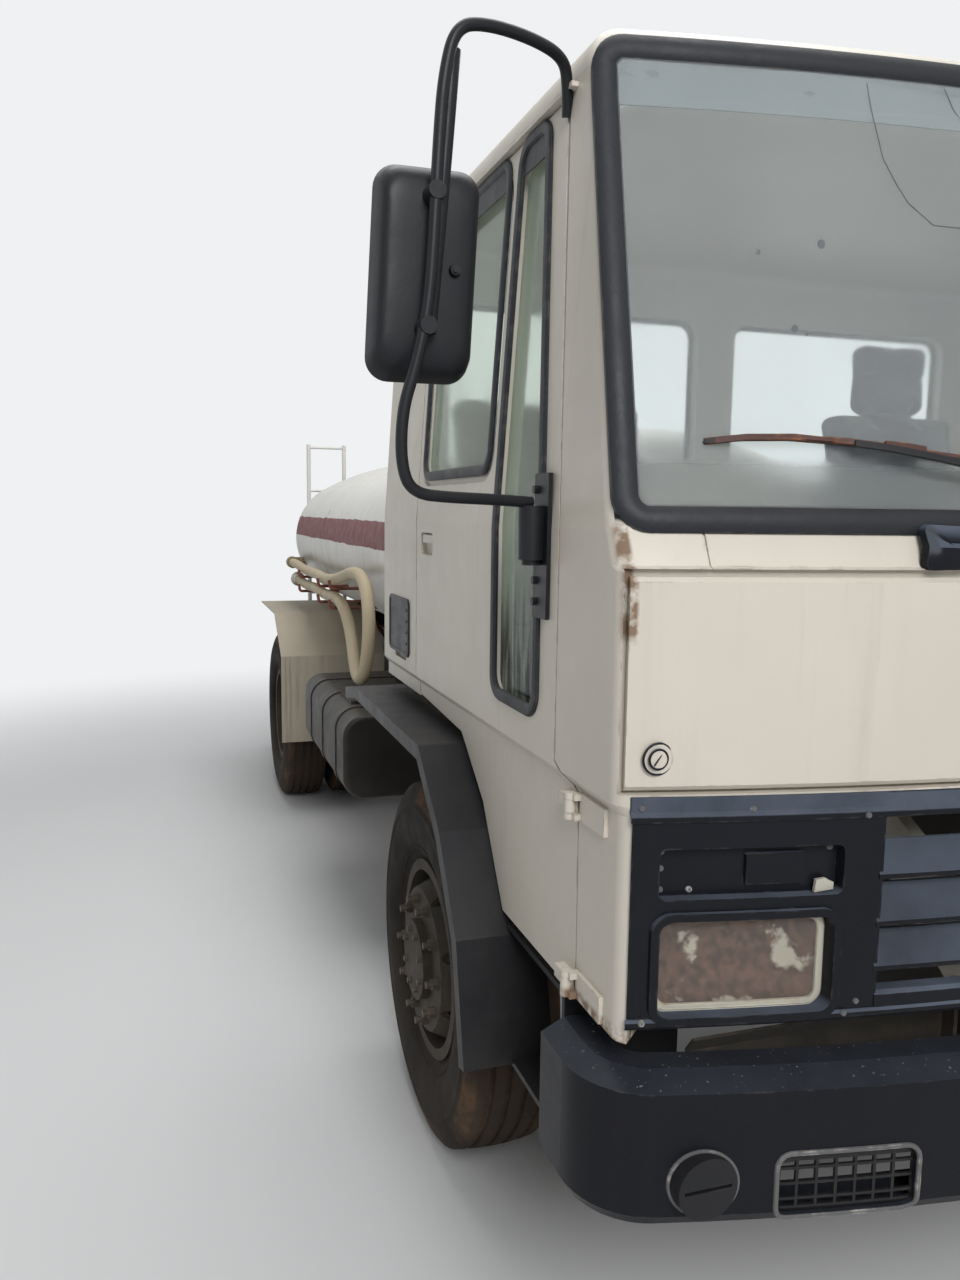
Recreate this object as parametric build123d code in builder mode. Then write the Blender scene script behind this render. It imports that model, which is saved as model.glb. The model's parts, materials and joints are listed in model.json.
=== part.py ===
"""Water tanker truck: a forward-control tilting cab on a two-axle chassis, with an oval water tank.

X is across the truck (+X is its left side), +Y points to the rear and +Z up. All sizes are millimetres.
The origin is on the ground, midway between the bumper's face and the tail.
"""

from build123d import *
from math import asin, atan2, cos, degrees, pi, radians, sin, sqrt, tan
import os

os.makedirs("parts", exist_ok=True)

# Overall layout
wheelbase = 3640
front_overhang = 1425
rear_overhang = 1085
front_axle_y = (front_overhang - wheelbase - rear_overhang) / 2
rear_axle_y = front_axle_y + wheelbase
bumper_face_y = front_axle_y - front_overhang
tail_y = rear_axle_y + rear_overhang

# Clearances
seat_gap = 0.3
panel_gap = 6
pin_gap = 0.3

# Wheels and tyres
tyre_radius = 510
tyre_width = 258
tyre_wall = 22
tread_width = 200
shoulder_drop = 24
crown_drop = 8
bead_radius = 257
bead_width = 186
rim_wall = 9
rim_flange = 22
hub_z = tyre_radius
front_wheel_x = 1030
rear_outer_x = 1040
twin_spacing = 300
rear_inner_x = rear_outer_x - twin_spacing
hub_radius = 112
drum_radius = 205
drum_wall = 14
spindle_radius = 38

# Frame
rail_outer_x = 430
rail_height = 240
rail_flange = 75
rail_wall = 8
rail_top_z = 940
rail_bottom_z = rail_top_z - rail_height
rail_inner_x = rail_outer_x - rail_wall
rail_front_y = front_axle_y - 1235
rail_rear_y = tail_y - 90
member_height = 130
member_depth = 90
member_wall = 8
member_z = rail_top_z - rail_wall - member_height / 2 - 20

# Cab form
cab_wall = 45
cab_bottom_z = 915
cab_roof_z = 2545
roof_rise = 100
roof_round = 80
cab_front_y = front_axle_y - 1377
cab_rear_y = front_axle_y + 505
cab_front_radius = 5100
cab_corner_radius = 35
cab_rear_corner_radius = 90
smallest_round = 5
floor_top_z = 1235
floor_wall = 30
belt_z = 1760
crease_z = 1310
cowl_z = 1698
cab_half_width = 1150
lower_half_width = 1136
roof_half_width = 1098
windscreen_rake = 250
cowl_back = 20
pillar_back = 45

# Rows of the cab's outer form: height, half width, how far its front stands back
cab_sections = (
    (cab_bottom_z, lower_half_width, 0),
    (crease_z - 8, lower_half_width, 0),
    (crease_z + 10, cab_half_width, 0),
    (cowl_z, cab_half_width, 0),
    (cowl_z + 8, cab_half_width, cowl_back),
    (belt_z, cab_half_width, pillar_back),
    (cab_roof_z, roof_half_width, pillar_back + windscreen_rake),
)

# Tank
tank_half_width = 950
tank_half_height = 525
tank_side_radius = 380
tank_centre_z = 1595
tank_front_y = front_axle_y + 850
tank_rear_y = rear_axle_y + 760
tank_wall = 10
tank_end_round = 110
neck_radius = 250
neck_rise = 60
neck_wall = 12
neck_y = (tank_front_y + tank_rear_y) / 2 - 450
tank_top_z = tank_centre_z + tank_half_height

# Steering
king_pin_x = 850
king_pin_radius = 22
arm_length = 200
tie_rod_z = hub_z - 130
tie_rod_radius = 19


def across(y):
    """An upright plane across the truck at y. A negative extrusion from it runs to the rear."""
    return Plane.XZ.offset(-y)


def lengthwise(x):
    """An upright plane along the truck at x, with Y across the sketch and Z up it."""
    return Plane.YZ.offset(x)


def level(z):
    """A level plane at height z."""
    return Plane.XY.offset(z)


def side_span(side, from_x, to_x):
    """Two places across the truck on one side, the lower first."""
    return min(side * from_x, side * to_x), max(side * from_x, side * to_x)


def bow_at(x, radius=cab_front_radius):
    """How far a bowed front stands back at a place across the truck."""
    return radius - sqrt(radius**2 - x**2)


def screen_y(x, z):
    """Where the windscreen's outer surface lies."""
    rise = (z - belt_z) / (cab_roof_z - belt_z)
    return cab_front_y + pillar_back + windscreen_rake * rise + bow_at(x)


def cab_plan(half_width, front_y, rear_y, inset):
    """The cab's plan at one height: a bowed front, straight sides and rounded corners."""
    side = half_width - inset
    front = front_y + inset
    rear = rear_y - inset
    corner_y = front + bow_at(side, cab_front_radius - inset)
    with BuildSketch() as plan:
        with BuildLine():
            ThreePointArc((-side, corner_y), (0, front), (side, corner_y))
            Polyline((side, corner_y), (side, rear), (-side, rear), (-side, corner_y))
        make_face()
        corners = plan.vertices().sort_by(Axis.Y)
        fillet(corners[:2], max(cab_corner_radius - inset, smallest_round))
        fillet(corners[2:], max(cab_rear_corner_radius - inset, smallest_round))
    return plan.sketch


def cab_form(inset):
    """The cab's outer form, or with an inset the form of a skin inside it."""
    with BuildPart() as form:
        for z, half_width, setback in cab_sections:
            with BuildSketch(level(z)):
                add(cab_plan(half_width, cab_front_y + setback, cab_rear_y, inset))
        loft(ruled=True)
    return form.part


def cab_layer(outer_inset, inner_inset):
    """The space between two skins of the cab."""
    return cab_form(outer_inset) - cab_form(inner_inset)


def outlined_prism(plane, outline, corner_radius, length, grow=0):
    """A prism from a plane, with a rounded outline that may be grown or shrunk."""
    with BuildPart() as prism:
        with BuildSketch(plane):
            with BuildLine():
                Polyline(*outline, close=True)
            outline_face = make_face()
            if corner_radius:
                fillet(outline_face.vertices(), corner_radius)
            if grow:
                offset(amount=grow, kind=Kind.ARC if grow > 0 else Kind.INTERSECTION)
        extrude(amount=length)
    return prism.part


def side_prism(outline, corner_radius, grow=0):
    """A prism right across the truck, from an outline of Y and Z."""
    return outlined_prism(lengthwise(-2000), outline, corner_radius, 4000, grow)


def front_prism(outline, corner_radius, from_y, to_y, grow=0):
    """A prism along the truck between two places, from an outline of X and Z."""
    return outlined_prism(across(from_y), outline, corner_radius, -(to_y - from_y), grow)


def rectangle(low_x, low_z, high_x, high_z):
    """The four corners of an upright rectangle."""
    return (low_x, low_z), (high_x, low_z), (high_x, high_z), (low_x, high_z)


def block(x, y, z):
    """A plain block between pairs of X, Y and Z."""
    with BuildPart() as solid:
        with BuildSketch(level(z[0])):
            with Locations(((x[0] + x[1]) / 2, (y[0] + y[1]) / 2)):
                Rectangle(x[1] - x[0], y[1] - y[0])
        extrude(amount=z[1] - z[0])
    return solid.part


def bar(start, end, radius):
    """A round bar from one point to another."""
    direction = Vector(*end) - Vector(*start)
    with BuildPart() as rod:
        with BuildSketch(Plane(origin=start, z_dir=direction)):
            Circle(radius)
        extrude(amount=direction.length)
    return rod.part


def tube(points, radius, bend):
    """A round bar bent along a path, with one radius at every bend."""
    with BuildPart() as bent:
        with BuildLine() as path:
            FilletPolyline(*points, radius=bend)
        with BuildSketch(Plane(origin=path.line @ 0, z_dir=path.line % 0)):
            Circle(radius)
        sweep()
    return bent.part


def disc_x(x_pair, y, z, radius, bore=0):
    """A disc or ring round a line across the truck."""
    with BuildPart() as disc:
        with BuildSketch(lengthwise(x_pair[0])):
            with Locations((y, z)):
                Circle(radius)
                if bore:
                    Circle(bore, mode=Mode.SUBTRACT)
        extrude(amount=x_pair[1] - x_pair[0])
    return disc.part


def post(x, y, z_from, z_to, radius, bore=0):
    """An upright round post, or a ring."""
    with BuildPart() as upright:
        with BuildSketch(level(z_from)):
            with Locations((x, y)):
                Circle(radius)
                if bore:
                    Circle(bore, mode=Mode.SUBTRACT)
        extrude(amount=z_to - z_from)
    return upright.part


def bowed(profile, half_width, corner_radius=0):
    """A profile of depth behind the cab's front and height, swept along the front's bow."""
    spread = asin(half_width / cab_front_radius)
    centre = (0, cab_front_y + cab_front_radius, 0)
    start = Plane(
        origin=centre,
        x_dir=(-sin(spread), -cos(spread), 0),
        z_dir=(-cos(spread), sin(spread), 0),
    )
    with BuildPart() as strip:
        with BuildSketch(start):
            with BuildLine():
                Polyline(*[(cab_front_radius - back, z) for back, z in profile], close=True)
            profile_face = make_face()
            if corner_radius:
                fillet(profile_face.vertices(), corner_radius)
        revolve(axis=Axis(centre, (0, 0, 1)), revolution_arc=2 * degrees(spread))
    return strip.part


# Chassis rails
with BuildPart() as chassis_rails:
    with BuildSketch(across(rail_front_y)):
        with Locations((rail_outer_x - rail_flange / 2, rail_top_z - rail_height / 2)):
            Rectangle(rail_flange, rail_height)
        with Locations((rail_inner_x - rail_flange / 2, rail_top_z - rail_height / 2)):
            Rectangle(rail_flange, rail_height - 2 * rail_wall, mode=Mode.SUBTRACT)
    extrude(amount=-(rail_rear_y - rail_front_y))
    mirror(about=Plane.YZ)
chassis_rails.part.label = "chassis_rails"
export_step(chassis_rails.part, "parts/chassis_rails.step")

# Crossmembers: channels between the rails' webs, by their places along the truck
member_places = (
    rail_front_y + 150,
    front_axle_y + 1150,
    rear_axle_y - 1150,
    rear_axle_y - 330,
    rear_axle_y + 420,
    rail_rear_y - 60,
)
with BuildPart() as crossmembers:
    for member_y in member_places:
        with BuildSketch(lengthwise(-rail_inner_x)):
            with Locations((member_y, member_z)):
                Rectangle(member_depth, member_height)
            with Locations((member_y + member_wall, member_z)):
                Rectangle(member_depth, member_height - 2 * member_wall, mode=Mode.SUBTRACT)
        extrude(amount=2 * rail_inner_x)
crossmembers.part.label = "crossmembers"
export_step(crossmembers.part, "parts/crossmembers.step")

# Front bumper: a pressed channel, bowed in plan, its upper face leaning back from a crease
bumper_top_z = 860
bumper_crease_z = 838
bumper_bottom_z = 600
bumper_lip_z = 620
bumper_half_width = 1190
bumper_end_y = front_axle_y - 1040
bumper_radius = 4300
bumper_corner = 150
bumper_depth = 95
bumper_wall = 8
bumper_lean = 45
bumper_tuck = 12
fog_x = 750
fog_z = 665
fog_width = 240
fog_height = 110
fog_round = 20
cover_x = 1000
cover_z = 680
cover_radius = 55
bumper_sections = (
    (bumper_bottom_z, bumper_tuck),
    (bumper_lip_z, 0),
    (bumper_crease_z, 0),
    (bumper_top_z, bumper_lean),
)


def bumper_plan(inset):
    """The bumper's plan, as a closed form with its back far behind the channel."""
    side = bumper_half_width - inset
    front = bumper_face_y + inset
    corner_y = front + bow_at(side, bumper_radius - inset)
    with BuildSketch() as plan:
        with BuildLine():
            ThreePointArc((-side, corner_y), (0, front), (side, corner_y))
            Polyline((side, corner_y), (side, bumper_end_y), (-side, bumper_end_y), (-side, corner_y))
        make_face()
        fillet(plan.vertices().sort_by(Axis.Y)[:2], bumper_corner - inset)
    return plan.sketch


def bumper_form(inset):
    """The bumper's outer form, or a form inside it."""
    with BuildPart() as form:
        for z, tuck in bumper_sections:
            with BuildSketch(level(z)):
                add(bumper_plan(tuck + inset))
        loft(ruled=True)
    return form.part


with BuildPart() as bumper_hollow:
    add(bumper_form(bumper_wall))
    add(block((-1500, 1500), (bumper_face_y - 100, bumper_end_y + 100), (0, bumper_bottom_z + bumper_wall)),
        mode=Mode.SUBTRACT)
    add(block((-1500, 1500), (bumper_face_y - 100, bumper_end_y + 100), (bumper_top_z - bumper_wall, 2000)),
        mode=Mode.SUBTRACT)
with BuildPart() as bumper_back:
    with BuildSketch(level(bumper_bottom_z - 1)):
        add(bumper_plan(bumper_depth))
    extrude(amount=bumper_top_z - bumper_bottom_z + 2)
with BuildPart() as front_bumper:
    add(bumper_form(0))
    add(bumper_hollow.part, mode=Mode.SUBTRACT)
    add(bumper_back.part, mode=Mode.SUBTRACT)
    for side in (-1, 1):
        with BuildSketch(across(bumper_face_y - 10)):
            with Locations((side * fog_x, fog_z)):
                RectangleRounded(fog_width, fog_height, fog_round)
        extrude(amount=-(bumper_depth + 250), mode=Mode.SUBTRACT)
front_bumper.part.label = "front_bumper"
export_step(front_bumper.part, "parts/front_bumper.step")

# Fog lamp openings' wire meshes behind the bumper's wall, and the round covers near its ends
mesh_wire = 5
mesh_lap = 14
mesh_columns = 6
mesh_rows = 3
cover_proud = 6
cover_slot = 6
with BuildPart() as mesh_grid:
    for side in (-1, 1):
        with BuildSketch(across(bumper_face_y - 10)):
            with Locations((side * fog_x, fog_z)):
                Rectangle(fog_width + 2 * mesh_lap, fog_height - 2)
                Rectangle(fog_width, fog_height - 2 * mesh_lap, mode=Mode.SUBTRACT)
                with GridLocations(fog_width / (mesh_columns + 1), 0, mesh_columns, 1):
                    Rectangle(mesh_wire, fog_height - mesh_lap)
                with GridLocations(0, fog_height / (mesh_rows + 1), 1, mesh_rows):
                    Rectangle(fog_width + mesh_lap, mesh_wire)
        extrude(amount=-300)
with BuildPart() as round_covers:
    for side in (-1, 1):
        cover_y = bumper_face_y + bow_at(cover_x - cover_radius, bumper_radius)
        with BuildSketch(across(cover_y - cover_proud)):
            with Locations((side * cover_x, cover_z)):
                Circle(cover_radius)
                Rectangle(1.6 * cover_radius, cover_slot, mode=Mode.SUBTRACT)
        extrude(amount=-60)
    add(bumper_form(0), mode=Mode.SUBTRACT)
with BuildPart() as bumper_fittings:
    add(bumper_form(bumper_wall + seat_gap))
    add(bumper_form(bumper_wall + seat_gap + mesh_wire), mode=Mode.SUBTRACT)
    add(mesh_grid.part, mode=Mode.INTERSECT)
    add(round_covers.part)
bumper_fittings.part.label = "bumper_fittings"
export_step(bumper_fittings.part, "parts/bumper_fittings.step")

# Front axle: a dropped beam with a boss at each end for the king pin, and seats for the springs
spring_x = 392
spring_width = 72
axle_top_z = hub_z - 40
axle_drop_z = hub_z - 135
axle_end_z = hub_z - 55
axle_depth = 84
axle_waist = 44
boss_radius = 46
boss_height = 130
axle_outline = (
    (-king_pin_x, hub_z + 45), (-700, hub_z + 35), (-560, axle_top_z), (560, axle_top_z),
    (700, hub_z + 35), (king_pin_x, hub_z + 45), (king_pin_x, axle_end_z),
    (700, axle_end_z - 15), (560, axle_drop_z), (-560, axle_drop_z),
    (-700, axle_end_z - 15), (-king_pin_x, axle_end_z),
)

with BuildPart() as front_axle:
    with BuildSketch(across(front_axle_y - axle_depth / 2)):
        with BuildLine():
            Polyline(*axle_outline, close=True)
        make_face()
    extrude(amount=-axle_depth)
    for face_y in (front_axle_y - axle_depth / 2, front_axle_y + axle_waist / 2):
        with BuildSketch(across(face_y)):
            for centre_x in (-235, 0, 235):
                with Locations((centre_x, (axle_top_z + axle_drop_z) / 2)):
                    RectangleRounded(200, axle_top_z - axle_drop_z - 40, 12)
        extrude(amount=-(axle_depth - axle_waist) / 2, mode=Mode.SUBTRACT)
    for side in (-1, 1):
        with BuildSketch(level(hub_z - boss_height / 2)):
            with Locations((side * king_pin_x, front_axle_y)):
                Circle(boss_radius)
        extrude(amount=boss_height)
        with BuildSketch(level(hub_z - boss_height)):
            with Locations((side * king_pin_x, front_axle_y)):
                Circle(king_pin_radius + pin_gap)
        extrude(amount=2 * boss_height, mode=Mode.SUBTRACT)
front_axle.part.label = "front_axle"
export_step(front_axle.part, "parts/front_axle.step")

# Rear axle: a banjo housing with its tubes and spindles, and the propeller shaft that drives it
rear_spring_x = rail_outer_x + 55
rear_pad_height = 90
banjo_radius = 205
banjo_width = 260
axle_tube_radius = 62
rear_spindle_x = rear_inner_x - 135
gearbox_rear_y = front_axle_y + 850
gearbox_z = 690
shaft_radius = 42
pinion_length = 300
spindle_reach = 60

with BuildPart() as rear_axle:
    with BuildSketch(lengthwise(0)):
        with Locations((rear_axle_y, hub_z)):
            Circle(banjo_radius)
    extrude(amount=banjo_width / 2, both=True, taper=28)
    for half_length, radius in ((rear_spindle_x, axle_tube_radius), (rear_outer_x + spindle_reach, spindle_radius)):
        add(disc_x((-half_length, half_length), rear_axle_y, hub_z, radius))
    with BuildSketch(across(rear_axle_y - pinion_length)):
        with Locations((0, hub_z)):
            Circle(78)
    extrude(amount=-pinion_length)
    for side in (-1, 1):
        with BuildSketch(level(hub_z)):
            with Locations((side * rear_spring_x, rear_axle_y)):
                Rectangle(spring_width + 20, 150)
        extrude(amount=rear_pad_height)
    add(bar((0, gearbox_rear_y + 40, gearbox_z), (0, rear_axle_y - pinion_length - 20, hub_z), shaft_radius))
    for joint_y, joint_z in ((gearbox_rear_y, gearbox_z), (rear_axle_y - pinion_length - 60, hub_z)):
        with BuildSketch(across(joint_y + seat_gap)):
            with Locations((0, joint_z)):
                Circle(66)
        extrude(amount=-70)
rear_axle.part.label = "rear_axle"
export_step(rear_axle.part, "parts/rear_axle.step")

# Leaf springs: stacks of leaves bent to one centre, hung from the rails
leaf_thickness = 12
eye_radius = 26

# Middle of the spring across the truck, half span, leaves, height of its pad, its rise at the eyes,
# its place along the truck, and the hangers' sides and top
front_spring = (spring_x, 560, 7, axle_top_z, 70, front_axle_y, 362, 422, rail_bottom_z)
rear_spring = (
    rear_spring_x, 640, 9, hub_z + rear_pad_height, 55, rear_axle_y,
    rail_outer_x, rear_spring_x + spring_width / 2, rail_top_z - 60,
)

with BuildPart() as leaf_springs:
    for middle_x, half_span, leaves, pad_z, rise, centre_y, near_x, far_x, hanger_top in (
        front_spring, rear_spring
    ):
        curve = (half_span**2 + rise**2) / (2 * rise)
        stack = leaves * leaf_thickness
        top_z = pad_z + stack
        for leaf in range(leaves):
            reach = half_span * (1 - 0.82 * leaf / leaves)
            with BuildSketch(lengthwise(middle_x - spring_width / 2)):
                with Locations((centre_y, top_z + curve)):
                    Circle(curve + (leaf + 1) * leaf_thickness)
                    Circle(curve + leaf * leaf_thickness, mode=Mode.SUBTRACT)
                with Locations((centre_y, top_z - 50)):
                    Rectangle(2 * reach, 600, mode=Mode.INTERSECT)
            extrude(amount=spring_width)
        with BuildSketch(level(pad_z)):
            with Locations((middle_x, centre_y)):
                Rectangle(spring_width + 16, 130)
        extrude(amount=stack + 20)
        for end in (-1, 1):
            eye_y = centre_y + end * (half_span + 6)
            eye_z = top_z + rise - leaf_thickness / 2
            eye_span = (middle_x - spring_width / 2, middle_x + spring_width / 2)
            add(disc_x(eye_span, eye_y, eye_z, eye_radius))
            with BuildSketch(lengthwise(near_x)):
                with BuildLine():
                    Polyline(
                        (eye_y - 34, eye_z - 20), (eye_y + 34, eye_z - 20),
                        (eye_y + 60, hanger_top), (eye_y - 60, hanger_top), close=True,
                    )
                make_face()
            extrude(amount=far_x - near_x)
    mirror(about=Plane.YZ)
leaf_springs.part.label = "leaf_springs"
export_step(leaf_springs.part, "parts/leaf_springs.step")

# Engine and gearbox, as one plain mass hung between the rails
engine_half_width = 285
engine_front_y = front_axle_y - 790
engine_rear_y = front_axle_y + 260
engine_top_z = 1290
engine_bottom_z = 660
sump_top_z = 720
sump_half_width = 180
tunnel_gap = 40
with BuildPart() as engine:
    add(block(
        (-engine_half_width, engine_half_width), (engine_front_y, engine_rear_y),
        (sump_top_z - 20, engine_top_z),
    ))
    add(block(
        (-sump_half_width, sump_half_width), (engine_front_y + 60, engine_rear_y - 40),
        (engine_bottom_z, sump_top_z),
    ))
    for mount_y in (engine_front_y + 200, engine_rear_y - 150):
        add(block((-rail_inner_x, rail_inner_x), (mount_y, mount_y + 100), (770, 850)))
    with BuildSketch(across(engine_rear_y - 10)):
        with Locations((0, 790)):
            RectangleRounded(400, 300, 60)
    extrude(amount=-(gearbox_rear_y - engine_rear_y - 60), taper=6)
    with BuildSketch(across(gearbox_rear_y - 120)):
        with Locations((0, gearbox_z)):
            Circle(64)
    extrude(amount=-120)
engine.part.label = "engine"
export_step(engine.part, "parts/engine.step")

# Radiator: a finned core in a frame, standing on the first crossmember
radiator_half_width = 290
radiator_y = member_places[0]
radiator_half_depth = 40
radiator_bottom_z = member_z + member_height / 2
radiator_top_z = floor_top_z - floor_wall - 25
core_recess = 12
with BuildPart() as radiator:
    add(block(
        (-radiator_half_width, radiator_half_width),
        (radiator_y - radiator_half_depth, radiator_y + radiator_half_depth),
        (radiator_bottom_z, radiator_top_z),
    ))
    for face_y in (radiator_y - radiator_half_depth, radiator_y + radiator_half_depth - core_recess):
        with BuildSketch(across(face_y)):
            with Locations((0, (radiator_bottom_z + radiator_top_z) / 2)):
                Rectangle(2 * radiator_half_width - 70, radiator_top_z - radiator_bottom_z - 110)
        extrude(amount=-core_recess, mode=Mode.SUBTRACT)
radiator.part.label = "radiator"
export_step(radiator.part, "parts/radiator.step")

# Exhaust: a silencer under the left rail with its straps and its tail pipe
silencer_x = 560
silencer_z = rail_top_z - 180
silencer_front_y = front_axle_y + 900
silencer_length = 620
tail_pipe_radius = 28
with BuildPart() as exhaust:
    with BuildSketch(across(silencer_front_y)):
        with Locations((silencer_x, silencer_z)):
            Ellipse(100, 75)
    extrude(amount=-silencer_length)
    fillet(exhaust.faces().filter_by(Axis.Y).edges(), 12)
    add(tube(
        (
            (silencer_x, silencer_front_y + silencer_length - 20, silencer_z),
            (silencer_x, silencer_front_y + silencer_length + 880, silencer_z),
            (silencer_x + 190, silencer_front_y + silencer_length + 1130, silencer_z - 110),
            (silencer_x + 560, silencer_front_y + silencer_length + 1130, silencer_z - 110),
        ),
        tail_pipe_radius, 70,
    ))
    for strap_y in (silencer_front_y + 100, silencer_front_y + 500):
        add(block((rail_outer_x, silencer_x), (strap_y - 15, strap_y + 15), (silencer_z + 60, silencer_z + 80)))
exhaust.part.label = "exhaust"
export_step(exhaust.part, "parts/exhaust.step")

# Fuel tank: a rounded sheet tank with pressed ribs, on brackets outside the right rail
fuel_front_y = front_axle_y + 1150
fuel_rear_y = front_axle_y + 2250
fuel_outer_x = 1175
fuel_inner_x = 620
fuel_bottom_z = 650
fuel_top_z = 985
fuel_round = 85
fuel_middle_x = (fuel_outer_x + fuel_inner_x) / 2
fuel_middle_z = (fuel_bottom_z + fuel_top_z) / 2
strap_proud = 5
strap_width = 50
with BuildPart() as fuel_tank:
    with BuildSketch(across(fuel_front_y)):
        with Locations((-fuel_middle_x, fuel_middle_z)):
            RectangleRounded(fuel_outer_x - fuel_inner_x, fuel_top_z - fuel_bottom_z, fuel_round)
    extrude(amount=-(fuel_rear_y - fuel_front_y))
    fillet(fuel_tank.faces().filter_by(Axis.Y).edges(), 18)
    for strap_y in (fuel_front_y + 200, fuel_front_y + 550, fuel_rear_y - 200):
        with BuildSketch(across(strap_y - strap_width / 2)):
            with Locations((-fuel_middle_x, fuel_middle_z)):
                RectangleRounded(
                    fuel_outer_x - fuel_inner_x + 2 * strap_proud, fuel_top_z - fuel_bottom_z + 2 * strap_proud,
                    fuel_round + strap_proud,
                )
        extrude(amount=-strap_width)
    with BuildSketch(level(fuel_top_z - 5)):
        with Locations((-fuel_outer_x + 190, fuel_front_y + 375)):
            RectangleRounded(230, 270, 20)
        with Locations((-fuel_inner_x - 130, fuel_rear_y - 330)):
            Circle(48)
    extrude(amount=22)
    for bracket_y in (fuel_front_y + 200, fuel_rear_y - 200):
        add(block(
            (-fuel_inner_x - 2, -rail_outer_x), (bracket_y - 35, bracket_y + 35), (rail_bottom_z, rail_top_z - 20),
        ))
fuel_tank.part.label = "fuel_tank"
export_step(fuel_tank.part, "parts/fuel_tank.step")

# Battery box outside the left rail, with its strapped lid
battery_x = (620, 1080)
battery_y = (front_axle_y + 1650, front_axle_y + 2200)
battery_z = (640, 900)
lid_step = 6
with BuildPart() as battery_box:
    add(block(battery_x, battery_y, battery_z))
    add(block(
        (battery_x[0] - lid_step, battery_x[1] + lid_step), (battery_y[0] - lid_step, battery_y[1] + lid_step),
        (battery_z[1] - 60, battery_z[1] + lid_step),
    ))
    for bracket_y in (battery_y[0] + 100, battery_y[1] - 100):
        add(block(
            (rail_outer_x, battery_x[0] + 20), (bracket_y - 30, bracket_y + 30),
            (silencer_z + 40, rail_top_z - 40),
        ))
battery_box.part.label = "battery_box"
export_step(battery_box.part, "parts/battery_box.step")

# Cab mounts: pivot brackets at the rails' front ends, and the brackets that carry the bumper
pivot_y = front_axle_y - 1280
pivot_z = rail_top_z
pivot_radius = 18
pivot_boss = 28
pivot_arm_x = 460
pivot_arm_width = 30
mount_x = 390
mount_width = 30
bracket_reach = 40
bumper_seat_y = (
    bumper_face_y + bumper_radius - sqrt((bumper_radius - bumper_wall)**2 - (mount_x + bracket_reach)**2) + seat_gap
)
with BuildPart() as cab_mounts:
    for side in (-1, 1):
        with BuildSketch(lengthwise(side * mount_x - mount_width / 2)):
            with BuildLine():
                Polyline(
                    (pivot_y - 25, pivot_z - 10), (pivot_y - 25, pivot_z + 25), (pivot_y + 25, pivot_z + 25),
                    (rail_front_y, rail_top_z + 5), (rail_front_y, rail_bottom_z), (pivot_y + 10, rail_bottom_z),
                    close=True,
                )
            make_face()
        extrude(amount=mount_width)
        pin_span = side_span(side, mount_x, pivot_arm_x + pivot_arm_width / 2 + 6)
        add(disc_x(pin_span, pivot_y, pivot_z, pivot_radius))
        add(block(
            (side * mount_x - bracket_reach, side * mount_x + bracket_reach),
            (bumper_seat_y, pivot_y + 40),
            (rail_bottom_z - 60, rail_bottom_z),
        ))
cab_mounts.part.label = "cab_mounts"
export_step(cab_mounts.part, "parts/cab_mounts.step")

# Water tank: an oval shell with rounded ends and a round neck on top
def oval(grow=0):
    """The tank's section, four arcs that meet smoothly, grown or shrunk by a distance."""
    half_width = tank_half_width + grow
    half_height = tank_half_height + grow
    side_radius = tank_side_radius + grow
    reach = half_width - side_radius
    top_radius = (reach**2 + half_height**2 - side_radius**2) / (2 * (half_height - side_radius))
    spread = atan2(reach, top_radius - half_height)
    join_x = reach + side_radius * sin(spread)
    join_z = side_radius * cos(spread)
    with BuildSketch() as section:
        with BuildLine():
            ThreePointArc((-join_x, join_z), (0, half_height), (join_x, join_z))
            ThreePointArc((join_x, join_z), (half_width, 0), (join_x, -join_z))
            ThreePointArc((join_x, -join_z), (0, -half_height), (-join_x, -join_z))
            ThreePointArc((-join_x, -join_z), (-half_width, 0), (-join_x, join_z))
        make_face()
    return section.sketch


def tank_form(grow):
    """The tank's whole outer form, grown or shrunk by a distance."""
    front = Plane(origin=(0, tank_front_y - grow, tank_centre_z), x_dir=(1, 0, 0), z_dir=(0, -1, 0))
    with BuildPart() as form:
        with BuildSketch(front):
            add(oval(grow))
        extrude(amount=-(tank_rear_y - tank_front_y + 2 * grow))
        fillet(form.faces().filter_by(Axis.Y).edges(), tank_end_round + grow)
    return form.part


neck_top_z = tank_top_z + neck_rise
with BuildPart() as water_tank:
    add(tank_form(0))
    with BuildSketch(level(tank_centre_z)):
        with Locations((0, neck_y)):
            Circle(neck_radius)
    extrude(amount=neck_top_z - tank_centre_z)
    add(tank_form(-tank_wall), mode=Mode.SUBTRACT)
    with BuildSketch(level(tank_centre_z)):
        with Locations((0, neck_y)):
            Circle(neck_radius - neck_wall)
    extrude(amount=neck_rise + tank_half_height, mode=Mode.SUBTRACT)
water_tank.part.label = "water_tank"
export_step(water_tank.part, "parts/water_tank.step")

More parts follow.
